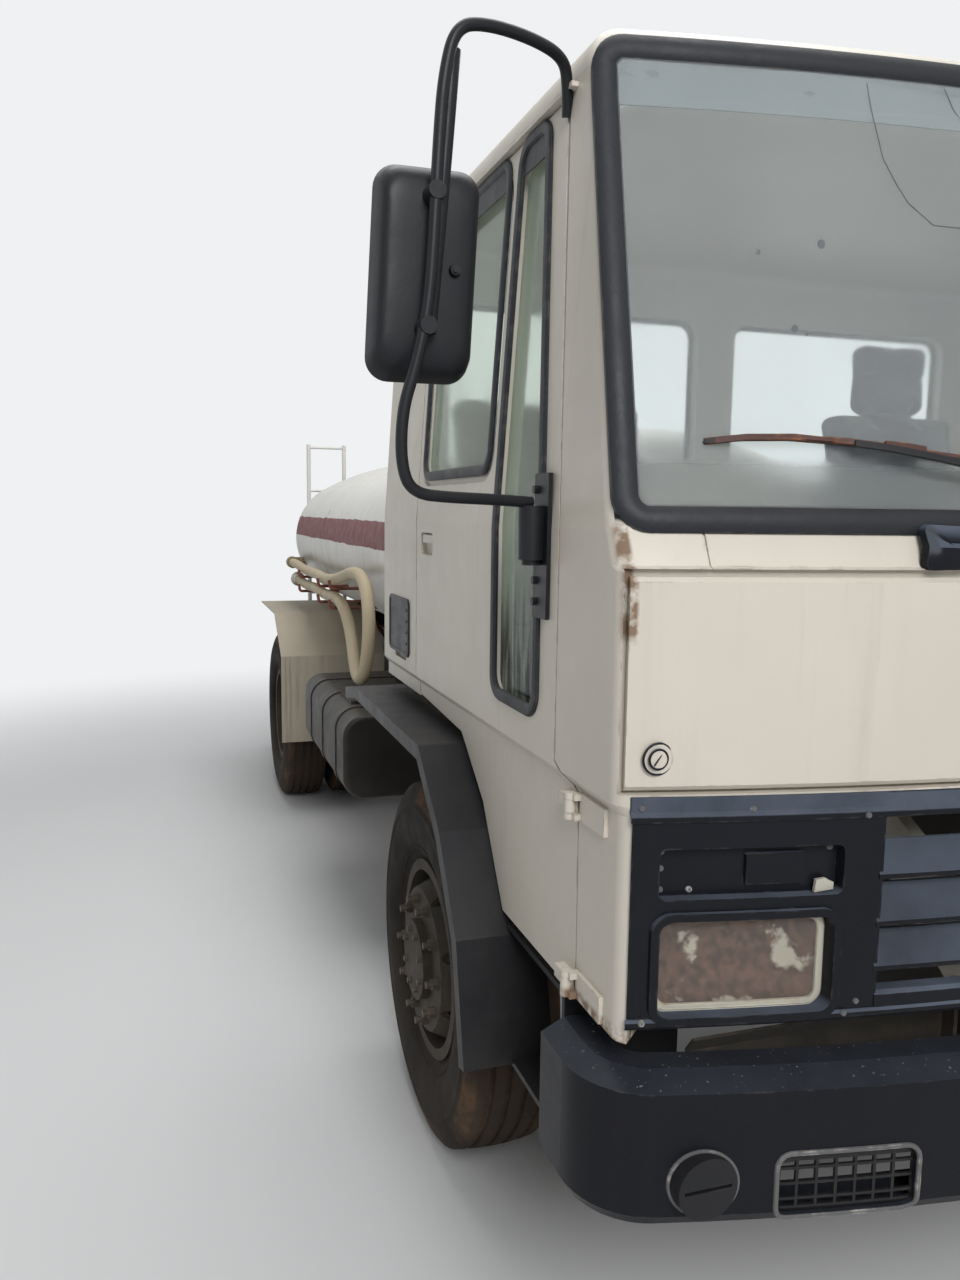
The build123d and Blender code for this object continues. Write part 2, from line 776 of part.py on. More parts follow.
# Tank lid: a dished disc over the neck, on two ears that turn on a pin at the rear
lid_gap = 6
lid_thickness = 14
lid_radius = neck_radius + 18
lid_hinge_y = neck_y + lid_radius + 30
lid_base_z = neck_top_z + lid_gap
lid_hinge_z = lid_base_z + 12
lid_ear_x = 60
lid_ear_width = 18
lid_pin_radius = 7
lid_knuckle_x = 30
lid_knuckle_width = 30
with BuildPart() as tank_lid:
    with BuildSketch(level(lid_base_z)):
        with Locations((0, neck_y)):
            Circle(lid_radius)
    extrude(amount=lid_thickness)
    fillet(tank_lid.faces().sort_by(Axis.Z)[-1].edges(), 8)
    for ear_x in (-lid_ear_x, lid_ear_x):
        ear_span = (ear_x - lid_ear_width / 2, ear_x + lid_ear_width / 2)
        add(block(ear_span, (neck_y + 150, lid_hinge_y), (lid_base_z + 6, lid_base_z + 24)))
        add(disc_x(ear_span, lid_hinge_y, lid_hinge_z, 2 * lid_pin_radius))
    add(disc_x((-lid_ear_x - 9, lid_ear_x + 9), lid_hinge_y, lid_hinge_z, lid_pin_radius))
tank_lid.part.label = "tank_lid"
export_step(tank_lid.part, "parts/tank_lid.step")

with BuildPart() as lid_hinge:
    for knuckle_x in (-lid_knuckle_x, lid_knuckle_x):
        knuckle_span = (knuckle_x - lid_knuckle_width / 2, knuckle_x + lid_knuckle_width / 2)
        add(block(knuckle_span, (lid_hinge_y - 20, lid_hinge_y + 20), (tank_top_z - 60, lid_hinge_z)))
        add(disc_x(knuckle_span, lid_hinge_y, lid_hinge_z, 20))
    add(disc_x((-100, 100), lid_hinge_y, lid_hinge_z, lid_pin_radius + pin_gap), mode=Mode.SUBTRACT)
    add(tank_form(seat_gap), mode=Mode.SUBTRACT)
lid_hinge.part.label = "lid_hinge"
export_step(lid_hinge.part, "parts/lid_hinge.step")

# Tank cradle: bearers along the rails and curved saddles under the tank
bearer_width = 80
bearer_top_z = rail_top_z + 70
saddle_places = (tank_front_y + 300, (tank_front_y + tank_rear_y) / 2, tank_rear_y - 300)
saddle_half_width = 570
saddle_depth = 80
saddle_low_z = bearer_top_z + 100
saddle_high_z = bearer_top_z + 240
with BuildPart() as tank_cradle:
    for saddle_y in saddle_places:
        with BuildSketch(across(saddle_y - saddle_depth / 2)):
            with BuildLine():
                Polyline(
                    (-saddle_half_width, saddle_high_z), (-saddle_half_width, saddle_low_z),
                    (-rail_outer_x, bearer_top_z + seat_gap), (rail_outer_x, bearer_top_z + seat_gap),
                    (saddle_half_width, saddle_low_z), (saddle_half_width, saddle_high_z),
                    close=True,
                )
            make_face()
        extrude(amount=-saddle_depth)
    add(tank_form(seat_gap), mode=Mode.SUBTRACT)
    for side in (-1, 1):
        add(block(
            side_span(side, rail_outer_x - bearer_width, rail_outer_x),
            (tank_front_y + 60, tank_rear_y - 20),
            (rail_top_z, bearer_top_z),
        ))
tank_cradle.part.label = "tank_cradle"
export_step(tank_cradle.part, "parts/tank_cradle.step")

# Ladder on the tank's rear end, to the right
ladder_x = (-830, -580)
ladder_y = tank_rear_y + 110
ladder_top_z = tank_top_z + 120
ladder_bottom_z = 900
ladder_bar = 14
rung_radius = 9
rung_count = 5
rung_spacing = 240
with BuildPart() as tank_ladder:
    for post_x in ladder_x:
        add(post(post_x, ladder_y, ladder_bottom_z, ladder_top_z, ladder_bar))
        add(bar((post_x, ladder_y, tank_centre_z), (post_x, tank_rear_y + seat_gap, tank_centre_z), rung_radius))
    rung_heights = [ladder_bottom_z + 60 + rung * rung_spacing for rung in range(rung_count)]
    for rung_z in rung_heights + [ladder_top_z - 20]:
        add(bar((ladder_x[0], ladder_y, rung_z), (ladder_x[1], ladder_y, rung_z), rung_radius))
    add(block(
        (ladder_x[1] - 20, -rail_outer_x), (ladder_y - 40, ladder_y + 12), (ladder_bottom_z, ladder_bottom_z + 8),
    ))
tank_ladder.part.label = "tank_ladder"
export_step(tank_ladder.part, "parts/tank_ladder.step")

# Rear mudguards: folded sheet over the twin wheels
guard_front_y = rear_axle_y - 570
guard_rear_y = rear_axle_y + 560
guard_top_z = hub_z + 655
guard_sheet = 6
guard_inner_x = 600
guard_outer_x = 1200
with BuildPart() as rear_mudguards:
    with BuildSketch(lengthwise(guard_inner_x)):
        with BuildLine():
            guard_line = Polyline(
                (guard_front_y, hub_z - 60), (guard_front_y, hub_z + 440),
                (guard_front_y + 330, guard_top_z), (guard_rear_y, guard_top_z),
            )
            offset(guard_line, amount=guard_sheet, side=Side.LEFT)
        make_face()
    extrude(amount=guard_outer_x - guard_inner_x)
    mirror(about=Plane.YZ)
rear_mudguards.part.label = "rear_mudguards"
export_step(rear_mudguards.part, "parts/rear_mudguards.step")

# Braces of angle section that carry the mudguards from the rails
brace_width = 38
brace_depth = 12
with BuildPart() as mudguard_braces:
    for brace_y in (guard_front_y + 420, guard_rear_y - 20):
        with BuildSketch(across(brace_y - brace_width / 2)):
            with BuildLine():
                Polyline(
                    (rail_outer_x, rail_top_z - 60), (rail_outer_x, rail_top_z - 5),
                    (guard_inner_x + 10, guard_top_z), (guard_outer_x - 60, guard_top_z),
                    (guard_outer_x - 60, guard_top_z - brace_depth),
                    (guard_inner_x + 30, guard_top_z - brace_depth), close=True,
                )
            make_face()
        extrude(amount=-brace_width)
    mirror(about=Plane.YZ)
mudguard_braces.part.label = "mudguard_braces"
export_step(mudguard_braces.part, "parts/mudguard_braces.step")

# Rear bumper bar with its brackets, and the lamps on it
rear_bar_z = 640
rear_bar_height = 120
rear_bar_depth = 70
rear_bar_half_width = 1050
lamp_x = 900
lamp_width = 240
lamp_height = 100
lamp_depth = 55
with BuildPart() as rear_bumper:
    add(block(
        (-rear_bar_half_width, rear_bar_half_width), (tail_y - rear_bar_depth, tail_y),
        (rear_bar_z - rear_bar_height / 2, rear_bar_z + rear_bar_height / 2),
    ))
    for side in (-1, 1):
        add(block(
            (side * spring_x - 35, side * spring_x + 35),
            (rail_rear_y - 200, tail_y - rear_bar_depth),
            (rear_bar_z, rail_bottom_z),
        ))
rear_bumper.part.label = "rear_bumper"
export_step(rear_bumper.part, "parts/rear_bumper.step")

with BuildPart() as rear_lamps:
    for side in (-1, 1):
        with BuildSketch(across(tail_y - rear_bar_depth)):
            with Locations((side * lamp_x, rear_bar_z + (rear_bar_height + lamp_height) / 2)):
                Rectangle(lamp_width, lamp_height)
        extrude(amount=-lamp_depth)
rear_lamps.part.label = "rear_lamps"
export_step(rear_lamps.part, "parts/rear_lamps.step")

# Cab panels. The cab's wall is one layer of its form, cut into panels where the real ones meet.
cab_shell = cab_layer(0, cab_wall)
door_rear_y = front_axle_y + 80
side_split_y = cab_rear_y - 160
mid_y = front_axle_y - 700
door_sill_y = front_axle_y - 1065
door_arch_y = front_axle_y - 660
door_arch_low = (front_axle_y - 510, hub_z + 610)
door_arch_high = (front_axle_y - 330, hub_z + 737)
door_arch_rear_z = hub_z + 760
window_top_z = 2490

# Door outline in Y and Z, from its lower front corner round over the wheel arch and up to the gutter
door_outline = (
    (door_sill_y, cab_bottom_z),
    (door_arch_y, cab_bottom_z),
    door_arch_low,
    door_arch_high,
    (door_rear_y, door_arch_rear_z),
    (door_rear_y, cab_roof_z - panel_gap),
    (front_axle_y - 850, cab_roof_z - panel_gap),
    (front_axle_y - 975, belt_z),
    (front_axle_y - 975, crease_z + 20),
    (door_sill_y + 5, crease_z - 20),
)

# The cab side under and behind the door follows the wheel arch too
arch_outline = (
    (door_arch_y - panel_gap, cab_bottom_z - 50),
    (door_arch_y - panel_gap, cab_bottom_z),
    (door_arch_low[0], door_arch_low[1] - panel_gap),
    (door_arch_high[0], door_arch_high[1] - panel_gap),
    (door_rear_y, door_arch_rear_z - panel_gap),
    (cab_rear_y + 50, door_arch_rear_z - panel_gap),
    (cab_rear_y + 50, cab_bottom_z - 50),
)
tall_window = (
    (front_axle_y - 880, 1400), (front_axle_y - 620, 1400), (front_axle_y - 620, window_top_z),
    (front_axle_y - 775, window_top_z), (front_axle_y - 880, 1850),
)
main_window = (
    (front_axle_y - 545, 1880), (front_axle_y + 20, 1880),
    (front_axle_y + 20, window_top_z), (front_axle_y - 545, window_top_z),
)
window_round = 45
window_frame = 26
window_recess = 8
glass_thickness = 5
glass_inset = 14
windscreen = ((-1138, 1775), (1138, 1775), (1090, window_top_z), (-1090, window_top_z))
windscreen_round = 80
screen_edge = 12
seal_width = 26
seal_proud = 5
seal_depth = 24
rear_window_z = (1900, 2440)
rear_window_x = (70, 950)
rear_window_round = 60
vent_outline = (
    (front_axle_y + 200, 1345), (front_axle_y + 470, 1345),
    (front_axle_y + 470, 1500), (front_axle_y + 200, 1500),
)
vent_recess = 12
vent_rows = 4
vent_slot = 14

# Grille unit's openings in the cab's front, as pairs of X and pairs of Z
grille_edge = 8
grille_half_width = lower_half_width - grille_edge
grille_bottom_z = 945
grille_top_z = 1337
louvre_half_width = 700
headlamp_x = (785, 1080)
headlamp_z = (965, 1130)
recess_x = (770, 1080)
recess_z = (1165, 1250)

# The flap under the windscreen, flush in a recess, and its hinge line
flap_half_width = 1138
flap_bottom_z = 1346
flap_top_z = 1690
flap_thickness = 16
flap_side_gap = 8
flap_back_gap = 6
flap_top_gap = 12
flap_hinge_x = 385
flap_hinge_y = cab_front_y + bow_at(flap_hinge_x)
flap_hinge_z = flap_top_z + 7


def corner_zone(edge, gap=0):
    """All that lies between the cab's front corners, with its sides cut at 45 degrees through the skin."""
    with BuildPart() as zone:
        for z, half_width, setback in cab_sections:
            corner_y = cab_front_y + setback + bow_at(half_width - edge)
            front_reach = half_width - edge + 94 - gap
            back_reach = half_width - edge - 86 - gap
            with BuildSketch(level(z)):
                with BuildLine():
                    Polyline(
                        (-front_reach, corner_y - 300), (front_reach, corner_y - 300),
                        (front_reach, corner_y - 100), (back_reach, corner_y + 80),
                        (back_reach, corner_y + 500), (-back_reach, corner_y + 500),
                        (-back_reach, corner_y + 80), (-front_reach, corner_y - 100), close=True,
                    )
                make_face()
        loft(ruled=True)
    return zone.part


def screen_prism(grow):
    """The windscreen's opening, or a smaller form inside it, between the front corners."""
    prism = front_prism(windscreen, windscreen_round, cab_front_y - 200, mid_y, grow=grow)
    return prism & corner_zone(screen_edge, -grow if grow > -1 else 0)


# The doorway runs up through the top of the wall, to the roof
doorway_outline = tuple((y, z + 50 if z > belt_z else z) for y, z in door_outline)
door_hole = side_prism(doorway_outline, 0, grow=panel_gap)
front_half = block((-1300, 1300), (cab_front_y - 100, mid_y), (cab_bottom_z - 50, cab_roof_z))
rear_half = block((-1300, 1300), (mid_y, cab_rear_y + 100), (cab_bottom_z - 50, cab_roof_z))
grille_opening = rectangle(-grille_half_width, cab_bottom_z - 60, grille_half_width, grille_top_z)
locker_opening = rectangle(-900, 1400, 900, 1630)
flap_recess = (
    (-20, flap_bottom_z - panel_gap), (flap_thickness + flap_back_gap, flap_bottom_z - panel_gap),
    (flap_thickness + flap_back_gap, flap_top_z + flap_top_gap), (-20, flap_top_z + flap_top_gap),
)
door_hinge_x = cab_half_width + 7
door_hinge_y = front_axle_y - 1073
door_hinge_heights = (crease_z - 35, cab_bottom_z + 30)
door_knuckle = 12
door_knuckle_radius = 10
door_pin_radius = 4
hinge_strap = 8
cowl_seam_x = 1005
cowl_seam = 4

with BuildPart() as cab_front:
    add(cab_shell)
    add(front_half, mode=Mode.INTERSECT)
    add(door_hole, mode=Mode.SUBTRACT)
    add(screen_prism(0), mode=Mode.SUBTRACT)
    add(
        front_prism(grille_opening, 0, cab_front_y - 200, mid_y) & corner_zone(grille_edge),
        mode=Mode.SUBTRACT,
    )
    add(bowed(flap_recess, flap_half_width + flap_side_gap), mode=Mode.SUBTRACT)
    add(front_prism(locker_opening, 30, cab_front_y - 200, mid_y), mode=Mode.SUBTRACT)
    for side in (-1, 1):
        seam = rectangle(side * cowl_seam_x - cowl_seam / 2, cowl_z + 4, side * cowl_seam_x + cowl_seam / 2, belt_z + 4)
        add(
            front_prism(seam, 0, cab_front_y - 200, mid_y) - cab_form(cowl_seam),
            mode=Mode.SUBTRACT,
        )
        # Fixed knuckles of the flap's hinge, each with a tongue back to the panel
        for knuckle_x in (side * flap_hinge_x - 23.5, side * flap_hinge_x + 23.5):
            knuckle_span = (knuckle_x - 11, knuckle_x + 11)
            add(disc_x(knuckle_span, flap_hinge_y, flap_hinge_z, 6))
            add(block(
                knuckle_span, (flap_hinge_y, flap_hinge_y + flap_thickness + flap_back_gap + 4),
                (flap_hinge_z - 4, flap_hinge_z + 5),
            ))
        pin_span = (side * flap_hinge_x - 30, side * flap_hinge_x + 30)
        add(disc_x(pin_span, flap_hinge_y, flap_hinge_z, 3))
        # Straps of the door's hinges on the corner panel, with the knuckles above and below the door's own
        for hinge_z in door_hinge_heights:
            strap_height = 2 * door_knuckle + 24
            add(block(
                side_span(side, lower_half_width - 6, lower_half_width + hinge_strap),
                (door_hinge_y - 115, door_hinge_y - 14),
                (hinge_z - strap_height / 2, hinge_z + strap_height / 2),
            ))
            for low_z in (hinge_z + door_knuckle + 0.5, hinge_z - strap_height / 2):
                knuckle_top = low_z + strap_height / 2 - door_knuckle - 0.5
                add(post(side * door_hinge_x, door_hinge_y, low_z, knuckle_top, door_knuckle_radius))
                add(block(
                    side_span(side, lower_half_width + 1, door_hinge_x),
                    (door_hinge_y - 20, door_hinge_y - 4), (low_z, knuckle_top),
                ))
            add(post(
                side * door_hinge_x, door_hinge_y, hinge_z - strap_height / 2, hinge_z + strap_height / 2,
                door_pin_radius,
            ))
cab_front.part.label = "cab_front"
export_step(cab_front.part, "parts/cab_front.step")

# Cab sides behind the doors, each with its framed and slotted vent
vent_low_y = vent_outline[0][0]
vent_high_y = vent_outline[1][0]
vent_pitch = (vent_outline[2][1] - vent_outline[0][1]) / (vent_rows + 1)
vent_slots = Part() + [
    side_prism(
        rectangle(
            vent_low_y + 20, vent_outline[0][1] + (row + 1) * vent_pitch - vent_slot / 2,
            vent_high_y - 20, vent_outline[0][1] + (row + 1) * vent_pitch + vent_slot / 2,
        ), 5,
    )
    for row in range(vent_rows)
]
with BuildPart() as cab_sides:
    add(cab_shell)
    add(rear_half, mode=Mode.INTERSECT)
    add(door_hole, mode=Mode.SUBTRACT)
    add(side_prism(arch_outline, 0), mode=Mode.SUBTRACT)
    add(side_prism(vent_outline, 18) - cab_form(vent_recess), mode=Mode.SUBTRACT)
    add(vent_slots, mode=Mode.SUBTRACT)
    add(block((-1300, 1300), (side_split_y, cab_rear_y + 100), (cab_bottom_z - 60, cab_roof_z)), mode=Mode.SUBTRACT)
    add(block((-1300, 1300), (mid_y - 10, door_rear_y - 20), (cab_bottom_z - 60, cab_roof_z)), mode=Mode.SUBTRACT)
cab_sides.part.label = "cab_sides"
export_step(cab_sides.part, "parts/cab_sides.step")

# Rear wall with its two windows
with BuildPart() as cab_rear_wall:
    add(cab_shell)
    add(
        block((-1300, 1300), (side_split_y, cab_rear_y + 100), (floor_top_z - floor_wall, cab_roof_z)),
        mode=Mode.INTERSECT,
    )
    add(side_prism(arch_outline, 0), mode=Mode.SUBTRACT)
    for side in (-1, 1):
        pane = rectangle(*[side * rear_window_x[0], rear_window_z[0], side * rear_window_x[1], rear_window_z[1]])
        add(front_prism(pane, rear_window_round, cab_rear_y - 150, cab_rear_y + 50), mode=Mode.SUBTRACT)
cab_rear_wall.part.label = "cab_rear_wall"
export_step(cab_rear_wall.part, "parts/cab_rear_wall.step")


def roof_form(inset):
    """The roof's outer form, or with an inset the hollow under it."""
    with BuildPart() as form:
        with BuildSketch(level(cab_roof_z)):
            add(cab_plan(roof_half_width, cab_front_y + pillar_back + windscreen_rake, cab_rear_y, inset))
        extrude(amount=roof_rise - inset)
        fillet(form.faces().sort_by(Axis.Z)[-1].edges(), roof_round - inset)
    return form.part


# Roof: one pressed skin, with a gutter along each side
gutter_reach = 14
gutter_height = 9
gutter_front_y = cab_front_y + 480
with BuildPart() as cab_roof:
    add(roof_form(0))
    add(roof_form(cab_wall), mode=Mode.SUBTRACT)
    for side in (-1, 1):
        add(block(
            side_span(side, roof_half_width - 6, roof_half_width + gutter_reach),
            (gutter_front_y, cab_rear_y - cab_rear_corner_radius),
            (cab_roof_z, cab_roof_z + gutter_height),
        ))
cab_roof.part.label = "cab_roof"
export_step(cab_roof.part, "parts/cab_roof.step")

# Floor with the raised cover over the engine, and the pivot arms
tunnel_half_width = engine_half_width + tunnel_gap
tunnel_top_z = engine_top_z + tunnel_gap + floor_wall
tunnel_front_y = engine_front_y - tunnel_gap
floor_half_width = 1045
floor_front_y = front_axle_y - 1102
floor_bottom_z = floor_top_z - floor_wall
with BuildPart() as cab_floor:
    add(block(
        (-floor_half_width, floor_half_width),
        (floor_front_y, cab_rear_y - cab_wall),
        (floor_bottom_z, floor_top_z),
    ))
    add(block(
        (-tunnel_half_width, tunnel_half_width),
        (tunnel_front_y, cab_rear_y - cab_wall),
        (floor_bottom_z, tunnel_top_z),
    ))
    add(block(
        (-tunnel_half_width + floor_wall, tunnel_half_width - floor_wall),
        (tunnel_front_y + floor_wall, cab_rear_y - cab_wall + 1),
        (floor_bottom_z - 1, tunnel_top_z - floor_wall),
    ), mode=Mode.SUBTRACT)
    for side in (-1, 1):
        with BuildSketch(lengthwise(side * pivot_arm_x - pivot_arm_width / 2)):
            with BuildLine():
                Polyline(
                    (pivot_y - 26, pivot_z), (pivot_y + 26, pivot_z),
                    (floor_front_y + 160, floor_bottom_z), (floor_front_y, floor_bottom_z),
                    (pivot_y - 26, floor_bottom_z - 120), close=True,
                )
            make_face()
            with Locations((pivot_y, pivot_z)):
                Circle(pivot_boss)
                Circle(pivot_radius + pin_gap, mode=Mode.SUBTRACT)
        extrude(amount=pivot_arm_width)
cab_floor.part.label = "cab_floor"
export_step(cab_floor.part, "parts/cab_floor.step")

# Grille unit: a proud side panel at each end, three tilted blades between them, a strip above and a lip below
grille_back = 22
grille_proud = 6
bead_proud = 14
bead_width_round_lamp = 14
lamp_round = 22
blade_rows = ((1249, 1196), (1173, 1114), (1090, 1035))
blade_lean = 24
blade_proud = 8
blade_thickness = 8
rib_places = (-350, 0, 350)
trim_gap = seat_gap
strip_low_z = 1296
lip_top_z = 990
lip_side_z = 962
pocket_depth = 16
pocket_plate = ((830, 930), (1182, 1236))


def paired_prism(x_pair, z_pair, corner_radius, grow=0):
    """Two prisms along the truck, one each side, from a rectangle given for the left."""
    prisms = []
    for side in (-1, 1):
        low_x, high_x = side_span(side, *x_pair)
        outline = rectangle(low_x, z_pair[0], high_x, z_pair[1])
        prisms.append(front_prism(outline, corner_radius, cab_front_y - 200, mid_y - 420, grow=grow))
    return prisms[0] + prisms[1]


strip_profile = (
    (8, grille_top_z - seat_gap), (-10, 1306), (-10, strip_low_z), (grille_back, strip_low_z),
    (grille_back, grille_top_z - seat_gap),
)
lip_profile = (
    (-8, grille_bottom_z), (-12, grille_bottom_z + 6), (-12, lip_side_z - 4), (-8, lip_side_z),
    (grille_back, lip_side_z), (grille_back, grille_bottom_z),
)
middle_lip_profile = (
    (-8, lip_side_z - 8), (-8, lip_top_z - 6), (-2, lip_top_z), (grille_back, lip_top_z),
    (grille_back, lip_side_z - 8),
)
headlamp_openings = paired_prism(headlamp_x, headlamp_z, lamp_round)
with BuildPart() as grille:
    add(cab_layer(-grille_proud, grille_back))
    add(
        paired_prism(
            (louvre_half_width, grille_half_width - seat_gap), (grille_bottom_z + 2, grille_top_z - 2 * seat_gap), 0
        ),
        mode=Mode.INTERSECT,
    )
    add(paired_prism(recess_x, recess_z, 12) - cab_form(pocket_depth), mode=Mode.SUBTRACT)
    add(cab_layer(8, pocket_depth + 2) & paired_prism(*pocket_plate, 4))
    add(
        cab_layer(-bead_proud, 2)
        & paired_prism(headlamp_x, headlamp_z, lamp_round, grow=bead_width_round_lamp)
    )
    add(bowed(strip_profile, grille_half_width))
    add(bowed(lip_profile, grille_half_width))
    add(bowed(middle_lip_profile, louvre_half_width + 2))
    for blade_top, blade_bottom in blade_rows:
        blade = (
            (blade_lean - blade_proud, blade_top), (-blade_proud, blade_bottom),
            (-blade_proud, blade_bottom - blade_thickness), (0, blade_bottom - blade_thickness),
            (blade_lean, blade_top),
        )
        add(bowed(blade, louvre_half_width + 6))
    for rib_x in rib_places:
        rib = rectangle(rib_x - 4, lip_top_z - 10, rib_x + 4, strip_low_z + 10)
        add(cab_layer(6, grille_back + 8) & front_prism(rib, 0, cab_front_y - 200, mid_y - 420))
    add(headlamp_openings, mode=Mode.SUBTRACT)
    add(corner_zone(grille_edge, trim_gap), mode=Mode.INTERSECT)
grille.part.label = "grille"
export_step(grille.part, "parts/grille.step")

# Headlamps seated in the grille's openings, set back from the bead
lens_back = 10
lamp_depth_behind = 80
with BuildPart() as headlamps:
    add(cab_layer(lens_back, lamp_depth_behind))
    add(paired_prism(headlamp_x, headlamp_z, lamp_round, grow=-seat_gap), mode=Mode.INTERSECT)
headlamps.part.label = "headlamps"
export_step(headlamps.part, "parts/headlamps.step")

# Front panel: the long flap under the windscreen, with hinge tongues at its top and a lock near each end
flap_bevel = 8
lock_x = 1088
lock_z = 1400
lock_radius = 25
lock_core_radius = 15
flap_knuckle_radius = 6
flap_profile = (
    (0, flap_bottom_z + flap_bevel), (0, flap_top_z - flap_bevel), (flap_bevel, flap_top_z),
    (flap_thickness, flap_top_z), (flap_thickness, flap_bottom_z), (flap_bevel, flap_bottom_z),
)
with BuildPart() as front_panel:
    add(bowed(flap_profile, flap_half_width))
    for side in (-1, 1):
        hinge_middle = side * flap_hinge_x
        tongue_span = (hinge_middle - 11.5, hinge_middle + 11.5)
        add(
            disc_x((hinge_middle - 41, hinge_middle + 41), flap_hinge_y, flap_hinge_z, flap_knuckle_radius + 6),
            mode=Mode.SUBTRACT,
        )
        add(disc_x(tongue_span, flap_hinge_y, flap_hinge_z, flap_knuckle_radius))
        add(block(
            tongue_span, (flap_hinge_y + 0.5, flap_hinge_y + 8), (flap_hinge_z - 24, flap_hinge_z),
        ))
        add(
            disc_x((hinge_middle - 12, hinge_middle + 12), flap_hinge_y, flap_hinge_z, 3 + pin_gap),
            mode=Mode.SUBTRACT,
        )
        turn = asin(side * lock_x / cab_front_radius)
        outward = Vector(sin(turn), -cos(turn), 0)
        lock_point = Vector(0, cab_front_y + cab_front_radius, lock_z) + outward * cab_front_radius
        for proud, radius in ((3, lock_radius), (6, lock_core_radius)):
            add(bar(tuple(lock_point + outward * proud), tuple(lock_point - outward * 8), radius))
front_panel.part.label = "front_panel"
export_step(front_panel.part, "parts/front_panel.step")

# Windscreen seal, and the glass of the windscreen and the rear windows
with BuildPart() as windscreen_seal:
    add(cab_layer(-seal_proud, seal_depth))
    add(screen_prism(-seat_gap), mode=Mode.INTERSECT)
    add(
        front_prism(windscreen, windscreen_round, cab_front_y - 200, mid_y, grow=-seal_width),
        mode=Mode.SUBTRACT,
    )
windscreen_seal.part.label = "windscreen_seal"
export_step(windscreen_seal.part, "parts/windscreen_seal.step")

screen_glass = front_prism(
    windscreen, windscreen_round, cab_front_y - 200, mid_y, grow=-(seal_width + seat_gap)
)
with BuildPart() as rear_panes:
    for side in (-1, 1):
        pane = rectangle(
            *side_span(side, *rear_window_x)[:1], rear_window_z[0],
            *side_span(side, *rear_window_x)[1:], rear_window_z[1],
        )
        add(front_prism(pane, rear_window_round, cab_rear_y - 150, cab_rear_y + 50, grow=-seat_gap))
with BuildPart() as cab_glass:
    add(cab_layer(glass_inset, glass_inset + glass_thickness))
    add(screen_glass + rear_panes.part, mode=Mode.INTERSECT)
cab_glass.part.label = "cab_glass"
export_step(cab_glass.part, "parts/cab_glass.step")

# Dashboard with its top, and the steering column
dash_rear_y = front_axle_y - 802
dash_top_z = 1740
dash_bottom_z = 1480
dash_half_width = 1040
dash_vents = ((-760, -420), (-170, 170), (420, 760))
wheel_centre = (550, front_axle_y - 720, 1850)
column_foot = (550, front_axle_y - 990, floor_top_z)
column_radius = 38
column_line = (Vector(*wheel_centre) - Vector(*column_foot)).normalized()
hub_depth = 40
dash_outline = (
    (cab_front_y - 50, dash_bottom_z), (dash_rear_y - 40, dash_bottom_z),
    (dash_rear_y, dash_bottom_z + 60), (dash_rear_y - 30, dash_top_z - 20),
    (dash_rear_y - 90, dash_top_z), (cab_front_y - 50, dash_top_z + 10),
)
with BuildPart() as dashboard:
    add(cab_form(cab_wall + seat_gap))
    add(outlined_prism(lengthwise(-dash_half_width), dash_outline, 0, 2 * dash_half_width), mode=Mode.INTERSECT)
    add(
        block((-1300, 1300), (cab_front_y - 100, front_axle_y - 1167), (1390, 1640)),
        mode=Mode.SUBTRACT,
    )
    for vent in dash_vents:
        add(
            block(vent, (dash_rear_y - 290, dash_rear_y - 270), (dash_top_z - 30, dash_top_z + 20)),
            mode=Mode.SUBTRACT,
        )
    add(bar(
        (column_foot[0], column_foot[1] + 8, column_foot[2] + 20),
        tuple(Vector(*wheel_centre) - column_line * (hub_depth + seat_gap)),
        column_radius,
    ))
dashboard.part.label = "dashboard"
export_step(dashboard.part, "parts/dashboard.step")

# Steering wheel: a rim on three spokes, square to its column
steer_plane = Plane(origin=wheel_centre, x_dir=(1, 0, 0), z_dir=column_line)
steer_radius = 225
steer_rim = 14
steer_hub = 45
with BuildPart() as steering_wheel:
    with BuildSketch(steer_plane.rotated((90, 0, 0))):
        with Locations((steer_radius, 0)):
            Circle(steer_rim)
    revolve(axis=Axis(steer_plane.origin, steer_plane.z_dir))
    with BuildSketch(steer_plane.offset(-hub_depth)):
        Circle(steer_hub)
    extrude(amount=hub_depth + 8)
    with BuildSketch(steer_plane.offset(-steer_rim)):
        with PolarLocations(steer_radius / 2 + 10, 3, start_angle=90):
            Rectangle(steer_radius - 40, 26)
    extrude(amount=12)
steering_wheel.part.label = "steering_wheel"
export_step(steering_wheel.part, "parts/steering_wheel.step")

# Seats: frames on the floor, and the pads on them, driver's to the left and a wide one to the right
seat_rows = (
    (310, 820, 2375),
    (-1000, -380, 2130),
)
seat_front_y = front_axle_y - 430
seat_rear_y = front_axle_y + 90
seat_top_z = 1640
back_top_z = 2130
pad_depth = 139.5
pad_round = 34
with BuildPart() as seat_frames:
    for x_low, x_high, top_z in seat_rows:
        add(block(
            (x_low + 30, x_high - 30), (seat_front_y + 60, seat_rear_y + 60), (floor_top_z, seat_top_z - pad_depth - 0.5),
        ))
seat_frames.part.label = "seat_frames"
export_step(seat_frames.part, "parts/seat_frames.step")


def cushion(plane, outline, length, rounding):
    """A pad from a side outline, with every edge rounded."""
    with BuildPart() as pad:
        add(outlined_prism(plane, outline, 0, length))
        fillet(pad.edges(), rounding)
    return pad.part


